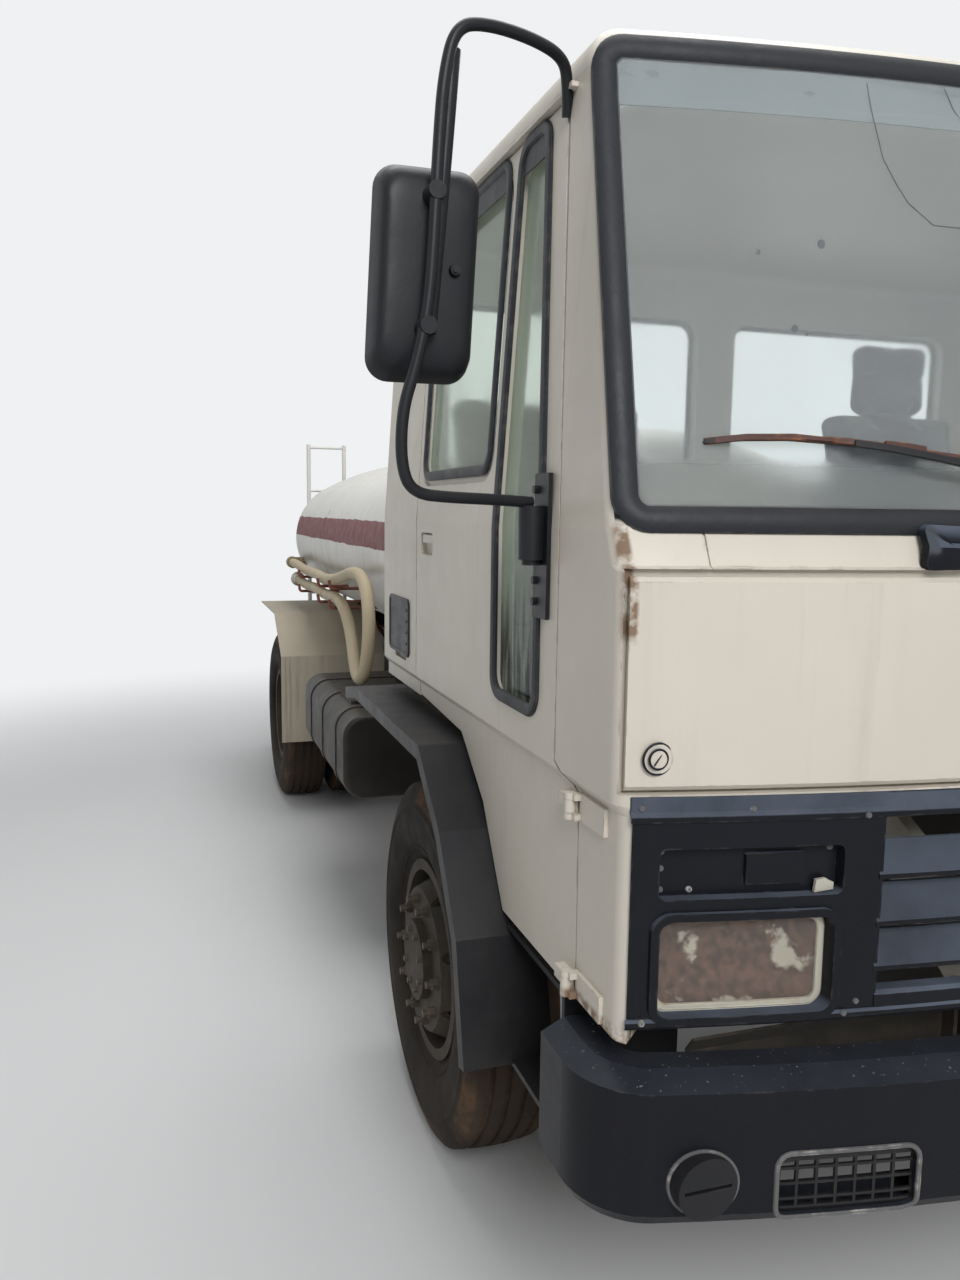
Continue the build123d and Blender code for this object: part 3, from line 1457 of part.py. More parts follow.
with BuildPart() as seat_pads:
    for x_low, x_high, top_z in seat_rows:
        squab = rectangle(seat_front_y, seat_top_z - pad_depth, seat_rear_y, seat_top_z)
        back = (
            (seat_rear_y - 12, seat_top_z - pad_depth), (seat_rear_y + 122, seat_top_z - pad_depth),
            (seat_rear_y + 250, back_top_z), (seat_rear_y + 140, back_top_z),
        )
        for outline in (squab, back):
            add(cushion(lengthwise(x_low), outline, x_high - x_low, pad_round))
        if top_z > back_top_z:
            middle_x = (x_low + x_high) / 2
            rest = rectangle(seat_rear_y + 150, back_top_z + 14, seat_rear_y + 240, top_z)
            add(cushion(lengthwise(middle_x - 140), rest, 280, pad_round))
            for post_x in (-60, 60):
                add(post(middle_x + post_x, seat_rear_y + 195, back_top_z - 20, back_top_z + 40, 7))
seat_pads.part.label = "seat_pads"
export_step(seat_pads.part, "parts/seat_pads.step")

# Doors: the cab's wall inside the door's outline, with two windows, a handle and its hinges' leaves
handle_y = door_rear_y - 110
handle_z = 1700
handle_pocket = rectangle(handle_y - 62, handle_z - 30, handle_y + 62, handle_z + 30)
handle_bar = rectangle(handle_y - 50, handle_z + 2, handle_y + 50, handle_z + 24)
handle_depth = 16
door_cuts = (
    side_prism(tall_window, window_round)
    + side_prism(main_window, window_round)
    + (side_prism(main_window, window_round, grow=window_frame) - cab_form(window_recess))
    + (side_prism(handle_pocket, 14) - cab_form(handle_depth))
)
door_skin = (cab_shell & side_prism(door_outline, 0)) - door_cuts + (
    cab_layer(3, handle_depth + 4) & side_prism(handle_bar, 6)
)
door_panes = cab_layer(glass_inset, glass_inset + glass_thickness) & (
    side_prism(tall_window, window_round, grow=-seat_gap) + side_prism(main_window, window_round, grow=-seat_gap)
)

# The mirror's bracket on the right door: upper mount, round the head and down to the lower mount
mirror_line = (
    (1097, -838, 2516), (1290, -855, 2572), (1395, -890, 2440), (1418, -900, 1940),
    (1380, -905, 1832), (1176, -905, 1826), (1176, -905, 1740),
)
mirror_tube = 10
mirror_stay = 7
mirror_head_x = 1393
mirror_head_z = 2180
mirror_head = (186, 340, 50)
for door_side, side_name in ((-1, "right"), (1, "left")):
    half_space = block(side_span(door_side, 0, 1300), (cab_front_y, cab_rear_y), (cab_bottom_z - 10, cab_roof_z))
    with BuildPart() as door:
        add(door_skin)
        add(half_space, mode=Mode.INTERSECT)
        for hinge_z in door_hinge_heights:
            leaf_z = (hinge_z - door_knuckle, hinge_z + door_knuckle)
            add(post(door_side * door_hinge_x, door_hinge_y, *leaf_z, door_knuckle_radius))
            add(block(
                side_span(door_side, door_hinge_x - 16, door_hinge_x), (door_hinge_y, door_hinge_y + 20), leaf_z,
            ))
            add(block(
                side_span(door_side, lower_half_width - 4, door_hinge_x),
                (door_hinge_y + 12, door_hinge_y + 55), leaf_z,
            ))
            add(
                post(
                    door_side * door_hinge_x, door_hinge_y, leaf_z[0] - 1, leaf_z[1] + 1, door_pin_radius + pin_gap,
                ),
                mode=Mode.SUBTRACT,
            )
    door.part.label = f"door_{side_name}"
    export_step(door.part, f"parts/door_{side_name}.step")
    with BuildPart() as door_glass:
        add(door_panes)
        add(half_space, mode=Mode.INTERSECT)
    door_glass.part.label = f"door_glass_{side_name}"
    export_step(door_glass.part, f"parts/door_glass_{side_name}.step")
    with BuildPart() as mirror_housing:
        with BuildSketch(across(front_axle_y - 925)):
            with Locations((door_side * mirror_head_x, mirror_head_z)):
                RectangleRounded(mirror_head[0], mirror_head[1], 40)
        extrude(amount=-mirror_head[2])
        fillet(mirror_housing.faces().sort_by(Axis.Y)[0].edges(), 18)
    with BuildPart() as door_mirror:
        add(tube([(door_side * x, front_axle_y + y, z) for x, y, z in mirror_line], mirror_tube, 28))
        add(bar(
            (door_side * 1300, front_axle_y - 858, 2566),
            (door_side * 1362, front_axle_y - 885, mirror_head_z + 20), mirror_stay,
        ))
        add(post(door_side * 1176, front_axle_y - 905, 1690, 1790, 25))
        add(block(
            side_span(door_side, cab_half_width + seat_gap, cab_half_width + 10),
            (front_axle_y - 940, front_axle_y - 870), (1590, belt_z - 2),
        ))
        add(cab_form(-seat_gap), mode=Mode.SUBTRACT)
        add(mirror_housing.part)
    door_mirror.part.label = f"mirror_{side_name}"
    export_step(door_mirror.part, f"parts/mirror_{side_name}.step")

# Cab mudguards: the flares over the wheels with their turned-down lips, and the steps in front of them
flare_sheet = 12
flare_inner_x = floor_half_width
flare_outer_x = 1250
flare_lip = 26
flare_lip_width = 8
step_front_y = front_axle_y - 1030
step_rear_y = front_axle_y - 735
step_inner_x = 900
step_outer_x = 1140
step_low_z = 600
step_high_z = 880
step_sheet = 12
flare_points = (
    (front_axle_y - 740, hub_z + 90), (front_axle_y - 672, hub_z + 352), (front_axle_y - 529, hub_z + 547),
    (front_axle_y - 335, hub_z + 698), (cab_rear_y, hub_z + 700), (front_axle_y + 670, hub_z + 670),
)


def flare_strip(from_x, to_x, amount, turned):
    """The flare's line given a thickness to one side, between two places across the truck."""
    with BuildPart() as strip:
        with BuildSketch(lengthwise(from_x)):
            with BuildLine():
                line = Polyline(*flare_points)
                offset(line, amount=amount, side=turned)
            make_face()
        extrude(amount=to_x - from_x)
    return strip.part


with BuildPart() as cab_mudguards:
    add(flare_strip(flare_inner_x, flare_outer_x, flare_sheet, Side.LEFT))
    add(flare_strip(flare_outer_x - flare_lip_width, flare_outer_x, flare_lip, Side.RIGHT))
    for x_pair, y_pair, z_pair in (
        ((step_inner_x, step_outer_x), (step_front_y, step_rear_y), (step_low_z, step_low_z + step_sheet)),
        ((step_inner_x, step_outer_x - 10), (step_front_y, step_rear_y + 55), (step_high_z, step_high_z + step_sheet)),
        ((step_inner_x, step_inner_x + step_sheet), (step_front_y, step_rear_y), (step_low_z, step_high_z + step_sheet)),
        ((step_inner_x, step_outer_x), (step_front_y, step_front_y + step_sheet), (step_low_z, step_high_z + step_sheet)),
        ((flare_inner_x - 45, flare_inner_x), (step_front_y, step_front_y + 60), (step_high_z, floor_bottom_z)),
    ):
        add(block(x_pair, y_pair, z_pair))
    mirror(about=Plane.YZ)
cab_mudguards.part.label = "cab_mudguards"
export_step(cab_mudguards.part, "parts/cab_mudguards.step")

# Wipers: an arm and a blade on each spindle at the foot of the windscreen
wiper_feet = (-590, 260)
spindle_z = 1745
wiper_reach = (-100, 160)
blade_span = ((-370, 178), (170, 143))
blade_parts = 4
blade_radius = 5
arm_radius = 6
blade_lift = 3


def on_glass(x, z, lift):
    """A point in front of the windscreen's glass."""
    return (x, screen_y(x, z) + glass_inset - lift, z)


with BuildPart() as wipers:
    for foot_x in wiper_feet:
        foot_y = cab_front_y + cowl_back + (spindle_z - cowl_z - 8) * 0.46 + bow_at(foot_x)
        add(bar((foot_x, foot_y + 60, spindle_z - 12), (foot_x, foot_y - 22, spindle_z), 16))
        elbow = on_glass(foot_x + wiper_reach[0], spindle_z + wiper_reach[1], glass_inset + 18)
        holder = on_glass(foot_x + wiper_reach[0], spindle_z + wiper_reach[1], blade_lift + blade_radius)
        add(bar((foot_x, foot_y - 16, spindle_z), elbow, arm_radius))
        add(bar(elbow, holder, arm_radius))
        ends = []
        for step in range(blade_parts + 1):
            share = step / blade_parts
            blade_x = foot_x + blade_span[0][0] + share * (blade_span[1][0] - blade_span[0][0])
            blade_z = spindle_z + blade_span[0][1] + share * (blade_span[1][1] - blade_span[0][1])
            ends.append(on_glass(blade_x, blade_z, blade_lift + blade_radius))
        for start, end in zip(ends, ends[1:]):
            add(bar(start, end, blade_radius))
    add(cab_form(-seat_gap) & block((-1300, 1300), (cab_front_y - 50, cab_rear_y), (cab_bottom_z, belt_z)),
        mode=Mode.SUBTRACT)
wipers.part.label = "wipers"
export_step(wipers.part, "parts/wipers.step")

# Knuckles: a fork round the axle's boss on the king pin, with its spindle, back plate and steering arm
fork_reach = 34
fork_radius = 52
fork_gap = 2
fork_plate_x = 915
back_plate_x = 924
back_plate_radius = 196
fork_top_z = hub_z + boss_height / 2 + fork_gap
fork_low_z = hub_z - boss_height / 2 - fork_gap - fork_reach
arm_top_z = hub_z - boss_height / 2 - 12
arm_y = front_axle_y + arm_length
arm_pin_radius = 12
for knuckle_side, side_name in ((-1, "right"), (1, "left")):
    pin_x = knuckle_side * king_pin_x
    with BuildPart() as knuckle:
        for z_from in (fork_top_z, fork_low_z):
            add(post(pin_x, front_axle_y, z_from, z_from + fork_reach, fork_radius))
            add(block(
                side_span(knuckle_side, king_pin_x, fork_plate_x),
                (front_axle_y - 50, front_axle_y + 50), (z_from, z_from + fork_reach),
            ))
        add(post(
            pin_x, front_axle_y, hub_z - boss_height / 2 - 10, hub_z + boss_height / 2 + 10, king_pin_radius,
        ))
        add(block(
            side_span(knuckle_side, fork_plate_x - 10, fork_plate_x + 10),
            (front_axle_y - 70, front_axle_y + 70), (fork_low_z, fork_top_z + fork_reach),
        ))
        add(disc_x(
            side_span(knuckle_side, fork_plate_x + 5, front_wheel_x + 130), front_axle_y, hub_z, spindle_radius,
        ))
        add(disc_x(
            side_span(knuckle_side, back_plate_x, back_plate_x + 8), front_axle_y, hub_z, back_plate_radius,
        ))
        add(block(
            side_span(knuckle_side, king_pin_x - 26, king_pin_x + 26),
            (front_axle_y, arm_y), (fork_low_z, arm_top_z),
        ))
        add(post(pin_x, arm_y, fork_low_z, arm_top_z, 26))
        add(post(pin_x, arm_y, tie_rod_z - 16, arm_top_z, arm_pin_radius))
    knuckle.part.label = f"knuckle_{side_name}"
    export_step(knuckle.part, f"parts/knuckle_{side_name}.step")

# Tie rod between the two steering arms, on the left arm's pin and round the right arm's
with BuildPart() as tie_rod:
    add(bar((-king_pin_x, arm_y, tie_rod_z), (king_pin_x, arm_y, tie_rod_z), tie_rod_radius))
    for side in (-1, 1):
        add(post(side * king_pin_x, arm_y, tie_rod_z - 22, tie_rod_z + 22, 30))
    for side, bore in ((-1, arm_pin_radius + 1), (1, arm_pin_radius + pin_gap)):
        add(post(side * king_pin_x, arm_y, tie_rod_z - 40, tie_rod_z + 40, bore), mode=Mode.SUBTRACT)
tie_rod.part.label = "tie_rod"
export_step(tie_rod.part, "parts/tie_rod.step")


def wheel_plane(axle_y):
    """An upright plane on an axle's line, with X across the sketch and the radius up it."""
    return Plane(origin=(0, axle_y, hub_z), x_dir=(1, 0, 0), z_dir=(0, -1, 0))


def tyre_skin(middle_x, axle_y, inset):
    """One skin of a tyre, as a solid ring."""
    bead = bead_width / 2 - inset
    belly = tyre_width / 2 - inset
    tread = tread_width / 2 - 0.6 * inset
    inner = bead_radius - (5 if inset else 0)
    shoulder = tyre_radius - shoulder_drop - inset
    edge = tyre_radius - crown_drop - inset
    belly_radius = (bead_radius + tyre_radius - shoulder_drop) / 2 + 10
    m = middle_x
    with BuildPart() as ring:
        with BuildSketch(wheel_plane(axle_y)):
            with BuildLine():
                Line((m + bead, inner), (m + bead, bead_radius + 28))
                ThreePointArc((m + bead, bead_radius + 28), (m + belly, belly_radius), (m + tread + 12, shoulder))
                Line((m + tread + 12, shoulder), (m + tread, edge))
                ThreePointArc((m + tread, edge), (m, tyre_radius - inset), (m - tread, edge))
                Line((m - tread, edge), (m - tread - 12, shoulder))
                ThreePointArc((m - tread - 12, shoulder), (m - belly, belly_radius), (m - bead, bead_radius + 28))
                Polyline((m - bead, bead_radius + 28), (m - bead, inner), (m + bead, inner))
            make_face()
        revolve(axis=Axis((0, axle_y, hub_z), (1, 0, 0)))
    return ring.part


def tyre_solid(middle_x, axle_y):
    """One tyre: a hollow ring, open round its inside where it stands on the rim."""
    return tyre_skin(middle_x, axle_y, 0) - tyre_skin(middle_x, axle_y, tyre_wall)


def rim_solid(middle_x, axle_y, face, disc_offset):
    """One rim: its barrel with rolled flanges, and a dished disc with hand holes towards its face."""
    half = bead_width / 2 + seat_gap
    m = middle_x
    disc_x_place = m + face * disc_offset
    with BuildPart() as rim:
        with BuildSketch(wheel_plane(axle_y)):
            with BuildLine():
                Polyline(
                    (m - half - 9, bead_radius + rim_flange), (m - half, bead_radius + rim_flange),
                    (m - half, bead_radius - seat_gap), (m + half, bead_radius - seat_gap),
                    (m + half, bead_radius + rim_flange), (m + half + 9, bead_radius + rim_flange),
                    (m + half + 9, bead_radius - rim_wall), (m - half - 9, bead_radius - rim_wall), close=True,
                )
            make_face()
            with BuildLine():
                Polyline(
                    (m + face * 10, bead_radius - 6), (m + face * 22, bead_radius - 6),
                    (disc_x_place, 200), (disc_x_place, hub_radius - 20),
                    (disc_x_place - face * 12, hub_radius - 20), (disc_x_place - face * 12, 194),
                    close=True,
                )
            make_face()
        revolve(axis=Axis((0, axle_y, hub_z), (1, 0, 0)))
        with BuildSketch(Plane(origin=(m - 200, axle_y, hub_z), x_dir=(0, 1, 0), z_dir=(1, 0, 0))):
            with PolarLocations(222, 8, start_angle=22.5):
                Circle(20)
        extrude(amount=400, mode=Mode.SUBTRACT)
    return rim.part


def hub_solid(axle_y, side, discs, bores):
    """A hub from rings between places across the truck, bored out in steps. Places are for the left side."""
    with BuildPart() as hub:
        for from_x, to_x, radius, bore in discs:
            add(disc_x(side_span(side, from_x, to_x), axle_y, hub_z, radius, bore))
        for from_x, to_x, radius in bores:
            add(disc_x(side_span(side, from_x, to_x), axle_y, hub_z, radius), mode=Mode.SUBTRACT)
    return hub.part


# Rings of the hubs: places across the truck, radius and bore, and then the spindle's bore through them
front_disc = 118
rear_disc = twin_spacing / 2
front_x = front_wheel_x
spindle_bore = spindle_radius + pin_gap
front_rings = (
    (front_x - 62, front_x + 145, hub_radius, 0),
    (front_x - 88, front_x + 20, drum_radius, drum_radius - drum_wall),
    (front_x + 6, front_x + 20, drum_radius, 0),
    (front_x + 100, front_x + front_disc, 190, 0),
)
front_bores = ((front_x - 82, front_x + 132, spindle_bore),)
rear_rings = (
    (rear_inner_x - 70, rear_outer_x + 75, hub_radius, 0),
    (rear_inner_x - 110, rear_inner_x + 60, drum_radius, drum_radius - drum_wall),
    (rear_inner_x + 40, rear_inner_x + 60, drum_radius, 0),
)
rear_bores = ((rear_inner_x - 120, rear_outer_x + 62, spindle_bore),)

# Wheels: rims on a hub with its brake drum, and the tyres round them
for wheel_side, side_name in ((-1, "right"), (1, "left")):
    tyre_x = wheel_side * front_wheel_x
    with BuildPart() as front_wheel:
        add(rim_solid(tyre_x, front_axle_y, wheel_side, front_disc))
        add(hub_solid(front_axle_y, wheel_side, front_rings, front_bores))
    front_wheel.part.label = f"wheel_front_{side_name}"
    export_step(front_wheel.part, f"parts/wheel_front_{side_name}.step")
    with BuildPart() as front_tyre:
        add(tyre_solid(tyre_x, front_axle_y))
    front_tyre.part.label = f"tyre_front_{side_name}"
    export_step(front_tyre.part, f"parts/tyre_front_{side_name}.step")

    with BuildPart() as rear_wheels:
        add(rim_solid(wheel_side * rear_outer_x, rear_axle_y, -wheel_side, rear_disc))
        add(rim_solid(wheel_side * rear_inner_x, rear_axle_y, wheel_side, rear_disc))
        add(hub_solid(rear_axle_y, wheel_side, rear_rings, rear_bores))
    rear_wheels.part.label = f"wheels_rear_{side_name}"
    export_step(rear_wheels.part, f"parts/wheels_rear_{side_name}.step")
    with BuildPart() as twin_tyres:
        for twin_x in (rear_outer_x, rear_inner_x):
            add(tyre_solid(wheel_side * twin_x, rear_axle_y))
    twin_tyres.part.label = f"tyres_rear_{side_name}"
    export_step(twin_tyres.part, f"parts/tyres_rear_{side_name}.step")

# Outlet at the tank's rear end with its hand wheel, and the elbow on its side that the hose leaves
hose_radius = 27.5
hose_x = -1008
elbow_y = tank_rear_y - 260
elbow_z = tank_centre_z - 155
pipe_radius = 30
outlet_z = 1180
outlet_radius = 50
outlet_length = 150
valve_y = tank_rear_y + 35
valve_wheel_z = outlet_z + 142
valve_wheel_radius = 80
with BuildPart() as outlet_valve:
    add(bar((0, tank_rear_y - 5, outlet_z), (0, tank_rear_y + outlet_length, outlet_z), outlet_radius))
    add(bar((0, tank_rear_y + 60, outlet_z), (0, tank_rear_y + 80, outlet_z), 78))
    add(post(0, valve_y, outlet_z, valve_wheel_z + 8, 14))
    add(post(0, valve_y, valve_wheel_z, valve_wheel_z + 12, valve_wheel_radius, valve_wheel_radius - 18))
    add(block((-70, 70), (valve_y - 7, valve_y + 7), (valve_wheel_z + 2, valve_wheel_z + 10)))
    add(tube(
        ((-880, elbow_y, elbow_z), (hose_x, elbow_y, elbow_z), (hose_x, elbow_y - 130, elbow_z)),
        pipe_radius, 60,
    ))
    add(bar((hose_x, elbow_y - 130, elbow_z), (hose_x, elbow_y - 60, elbow_z), 38))
    add(tank_form(seat_gap), mode=Mode.SUBTRACT)
outlet_valve.part.label = "outlet_valve"
export_step(outlet_valve.part, "parts/outlet_valve.step")

# Hose: forward along the tank from the elbow, round a hanging loop, and back under itself to its coupling
hose_route = (
    (hose_x, elbow_y - 130, elbow_z),
    (hose_x, 2100, elbow_z),
    (hose_x - 2, 1740, 1424),
    (hose_x, 1360, 1432),
    (hose_x - 3, 980, 1424),
    (hose_x, 640, 1444),
    (hose_x - 3, 350, 1486),
    (hose_x - 6, 90, 1516),
    (hose_x - 8, -110, 1496),
    (hose_x - 14, -244, 1396),
    (hose_x - 22, -284, 1246),
    (hose_x - 26, -218, 1110),
    (hose_x - 24, -80, 1052),
    (hose_x - 16, 70, 1094),
    (hose_x - 8, 180, 1204),
    (hose_x - 3, 350, 1306),
    (hose_x, 600, 1358),
    (hose_x - 3, 960, 1340),
    (hose_x, 1330, 1352),
    (hose_x - 3, 1700, 1338),
    (hose_x, 2050, 1346),
)
hose_bends = []
for before, point, after in zip(hose_route, hose_route[1:], hose_route[2:]):
    run_in = Vector(*point) - Vector(*before)
    run_out = Vector(*after) - Vector(*point)
    half_turn = radians(run_in.get_angle(run_out)) / 2
    hose_bends.append(0.45 * min(run_in.length, run_out.length) / tan(half_turn))
print("hose bend radii", [round(bend) for bend in hose_bends])

with BuildPart() as hose:
    with BuildLine() as hose_line:
        FilletPolyline(*hose_route, radius=hose_bends)
    with BuildSketch(Plane(origin=hose_line.line @ 0, z_dir=hose_line.line % 0)):
        Circle(hose_radius)
    sweep()
hose_length = sum(edge.length for edge in hose_line.edges())
hose_section = pi * hose_radius**2
print("hose length", round(hose_length), "fill", round(hose.part.volume / hose_section / hose_length, 4))
hose.part.label = "hose"
export_step(hose.part, "parts/hose.step")

# The coupling on the hose's far end: a ferrule and a collar round its bore
end_point = Vector(*hose_route[-1])
end_direction = (end_point - Vector(*hose_route[-2])).normalized()
end_plane = Plane(origin=end_point, z_dir=end_direction)
ferrule_length = 60
collar_length = 34
with BuildPart() as hose_coupling:
    with BuildSketch(end_plane):
        Circle(hose_radius + 6.5)
    extrude(amount=ferrule_length)
    with BuildSketch(end_plane.offset(ferrule_length)):
        Circle(hose_radius + 16.5)
    extrude(amount=collar_length)
    with BuildSketch(end_plane.offset(ferrule_length / 2)):
        Circle(hose_radius - 5.5)
    extrude(amount=ferrule_length + collar_length, mode=Mode.SUBTRACT)
hose_coupling.part.label = "hose_coupling"
export_step(hose_coupling.part, "parts/hose_coupling.step")

# Hooks on the tank's side, under the hose where it is hung: place, and the heights of the two runs
hook_radius = 8
hook_places = ((1740, 1424, 1338), (980, 1424, 1340), (600, 1440, 1344))
with BuildPart() as hose_hooks:
    for hook_y, upper_z, lower_z in hook_places:
        for run_z in (upper_z, lower_z):
            bar_z = run_z - hose_radius - hook_radius - 2
            add(tube(
                ((-790, hook_y, bar_z), (-1046, hook_y, bar_z), (-1052, hook_y, bar_z + 42)),
                hook_radius, 16,
            ))
    add(tank_form(seat_gap), mode=Mode.SUBTRACT)
hose_hooks.part.label = "hose_hooks"
export_step(hose_hooks.part, "parts/hose_hooks.step")
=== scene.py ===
# %% [markdown]
# A water tanker truck with a tilting cab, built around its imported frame. The frame holds the hard pieces
# at their real size, so this lesson is about surfaces, soft things and the small pieces that make a
# truck look used: paint, rubber, glass, dust, nuts, seals, lamps, padded seats and the hose. All lengths
# are metres, +Y is the truck's rear and +X its left side.

# %% Load the frame
import json
import math

import bmesh
import bpy
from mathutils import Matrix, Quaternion, Vector
from mathutils.bvhtree import BVHTree


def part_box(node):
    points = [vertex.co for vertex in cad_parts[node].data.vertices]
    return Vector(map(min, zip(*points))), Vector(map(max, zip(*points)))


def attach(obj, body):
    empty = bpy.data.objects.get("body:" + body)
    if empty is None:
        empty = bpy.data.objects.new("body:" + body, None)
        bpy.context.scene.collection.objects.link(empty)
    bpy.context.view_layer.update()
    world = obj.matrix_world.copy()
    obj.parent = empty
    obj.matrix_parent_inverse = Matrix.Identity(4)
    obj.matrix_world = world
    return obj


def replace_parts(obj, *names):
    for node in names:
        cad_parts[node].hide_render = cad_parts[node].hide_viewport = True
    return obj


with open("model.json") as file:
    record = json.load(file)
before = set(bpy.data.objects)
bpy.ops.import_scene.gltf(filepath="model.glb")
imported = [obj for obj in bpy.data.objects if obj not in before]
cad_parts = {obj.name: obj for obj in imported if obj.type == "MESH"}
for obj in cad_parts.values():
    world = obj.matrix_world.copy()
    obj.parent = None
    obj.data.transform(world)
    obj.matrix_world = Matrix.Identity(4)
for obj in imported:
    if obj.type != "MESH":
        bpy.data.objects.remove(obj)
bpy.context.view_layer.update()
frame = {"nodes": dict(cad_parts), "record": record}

# %% [markdown]
# A few places come back again and again, so they are named once. The front axle's line is the anchor,
# and everything on the cab is measured from it. The boxes of the frame's nodes give the rest.

# %% Places on the truck
tyre_low, tyre_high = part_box("tyre_front_left")
FRONT_AXLE_Y = (tyre_low[1] + tyre_high[1]) / 2
REAR_AXLE_Y = (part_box("tyres_rear_left")[0][1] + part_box("tyres_rear_left")[1][1]) / 2
TYRE_RADIUS = (tyre_high[2] - tyre_low[2]) / 2
TYRE_WIDTH = tyre_high[0] - tyre_low[0]
WHEEL_Z = TYRE_RADIUS
CAB_FRONT_Y = FRONT_AXLE_Y - 1.377
FACE_RADIUS = 5.1
SIDES = (("left", 1), ("right", -1))
print("axles at", round(FRONT_AXLE_Y, 3), round(REAR_AXLE_Y, 3), "tyre radius", round(TYRE_RADIUS, 3))

# %% [markdown]
# Four things are done again and again: an object is shown, a material is made with its shader, a lamp
# or the camera is aimed, and a smooth tube is laid along a line of points. Each has a function.

# %% Helpers for objects
def show(name, data):
    """A new object that holds the data and is shown."""
    made = bpy.data.objects.new(name, data)
    bpy.context.collection.objects.link(made)
    return made


def new_finish(name):
    """A new material, its node tree and its shader."""
    material = bpy.data.materials.new(name)
    material.use_nodes = True
    return material, material.node_tree, material.node_tree.nodes["Principled BSDF"]


def aim(holder, place, direction, roll=0.0):
    """Stands a lamp or the camera at a place and turns it to look along a direction."""
    holder.location = place
    holder.rotation_mode = "QUATERNION"
    holder.rotation_quaternion = direction.to_track_quat("-Z", "Y") @ Quaternion((0, 0, 1), roll)


def smooth_tube(name, points, radius, along, around):
    """A closed round tube on a NURBS line, with its steps along the line and around it."""
    curve = bpy.data.curves.new(name, "CURVE")
    curve.dimensions = "3D"
    line = curve.splines.new("NURBS")
    line.points.add(len(points) - 1)
    for point, place in zip(line.points, points):
        point.co = (*place, 1)
        point.radius = radius
    line.order_u = 3
    line.use_endpoint_u = True
    line.resolution_u = along
    curve.bevel_depth = 1.0
    curve.bevel_resolution = around
    curve.use_fill_caps = True
    return show(name, curve)


print("helpers for objects ready")

# %% [markdown]
# Shader node trees are easier to read when the same few steps have names. These helpers add one node
# each and hand back the socket that carries its result, so a finish reads as a short list of steps.

# %% Helpers for node trees
FLOAT = "NodeSocketFloat"


def put(tree, kind, settings=(), inputs=()):
    """Adds a node, sets its settings and its inputs, and returns it. A socket as a value is linked."""
    node = tree.nodes.new(kind)
    for key, value in dict(settings).items():
        setattr(node, key, value)
    for key, value in dict(inputs).items():
        if isinstance(value, bpy.types.NodeSocket):
            tree.links.new(value, node.inputs[key])
        else:
            node.inputs[key].default_value = value
    return node


def object_place(tree):
    """The point's place on its own object."""
    return put(tree, "ShaderNodeTexCoord").outputs["Object"]


def axes(tree, vector):
    """The sockets X, Y and Z of a vector."""
    return put(tree, "ShaderNodeSeparateXYZ", inputs={0: vector}).outputs


def true_normal(tree):
    """The direction that the surface faces."""
    return put(tree, "ShaderNodeNewGeometry").outputs["Normal"]


def noise(tree, coords, scale, detail=4, stretch=(1, 1, 1), roughness=0.55):
    """A cloudy value from 0 to 1 that changes over the surface, stretched along the axes."""
    mapping = put(tree, "ShaderNodeMapping", inputs={"Vector": coords, "Scale": stretch})
    inputs = {"Vector": mapping.outputs[0], "Scale": scale, "Detail": detail, "Roughness": roughness}
    return put(tree, "ShaderNodeTexNoise", inputs=inputs).outputs["Fac"]


def step(tree, value, low, high, to_low=0.0, to_high=1.0):
    """Turns a value that runs from low to high into one that runs from to_low to to_high."""
    inputs = {"Value": value, "From Min": low, "From Max": high, "To Min": to_low, "To Max": to_high}
    return put(tree, "ShaderNodeMapRange", inputs=inputs).outputs[0]


def calc(tree, operation, *values):
    """One sum on one or two values."""
    return put(tree, "ShaderNodeMath", {"operation": operation}, dict(enumerate(values))).outputs[0]


def times(tree, *values):
    """Several masks multiplied."""
    result = values[0]
    for value in values[1:]:
        result = calc(tree, "MULTIPLY", result, value)
    return result


def within(tree, value, low, high, soft):
    """A mask that is 1 between low and high and falls to 0 over soft on either side."""
    return times(tree, step(tree, value, low - soft, low), step(tree, value, high + soft, high))


def shown_ray(tree):
    """A value that is 1 for a ray from the camera, off gloss or through glass, and 0 for the rest."""
    path = put(tree, "ShaderNodeLightPath").outputs
    either = calc(tree, "MAXIMUM", path["Is Camera Ray"], path["Is Glossy Ray"])
    return calc(tree, "MAXIMUM", either, path["Is Transmission Ray"])


def blend_colour(tree, mask, under, over):
    """One colour over another by a mask."""
    return put(tree, "ShaderNodeMix", {"data_type": "RGBA"}, {0: mask, 6: under, 7: over}).outputs[2]


def new_group(name, inputs, outputs):
    """A shader node group with named sockets. Returns the tree and its input and output nodes."""
    tree = bpy.data.node_groups.new(name, "ShaderNodeTree")
    for socket, kind, value in inputs:
        made = tree.interface.new_socket(socket, in_out="INPUT", socket_type=kind)
        made.default_value = value
    for socket, kind in outputs:
        tree.interface.new_socket(socket, in_out="OUTPUT", socket_type=kind)
    return tree, tree.nodes.new("NodeGroupInput"), tree.nodes.new("NodeGroupOutput")


def use_group(tree, group, **inputs):
    """Places a node group and returns its mask."""
    node = put(tree, "ShaderNodeGroup")
    node.node_tree = group
    for key, value in inputs.items():
        node.inputs[key].default_value = value
    return node.outputs["Mask"]


def rgba(colour):
    """A colour with a full alpha."""
    return (*colour, 1.0)


print("helpers for node trees ready")

# %% [markdown]
# The camera comes first, because every later choice is judged through it. It stands a little to the
# truck's right of the front corner, at eye height, and looks slightly down. Its lens is a wide one,
# so the cab's side falls away quickly.

# %% Camera
CAMERA_PLACE = (-1.8324, FRONT_AXLE_Y - 2.6569, 1.7879)
CAMERA_YAW = 0.3086
CAMERA_PITCH = 0.1279
CAMERA_ROLL = 0.0120
CAMERA_LENS, CAMERA_REACH = 28.08, 200

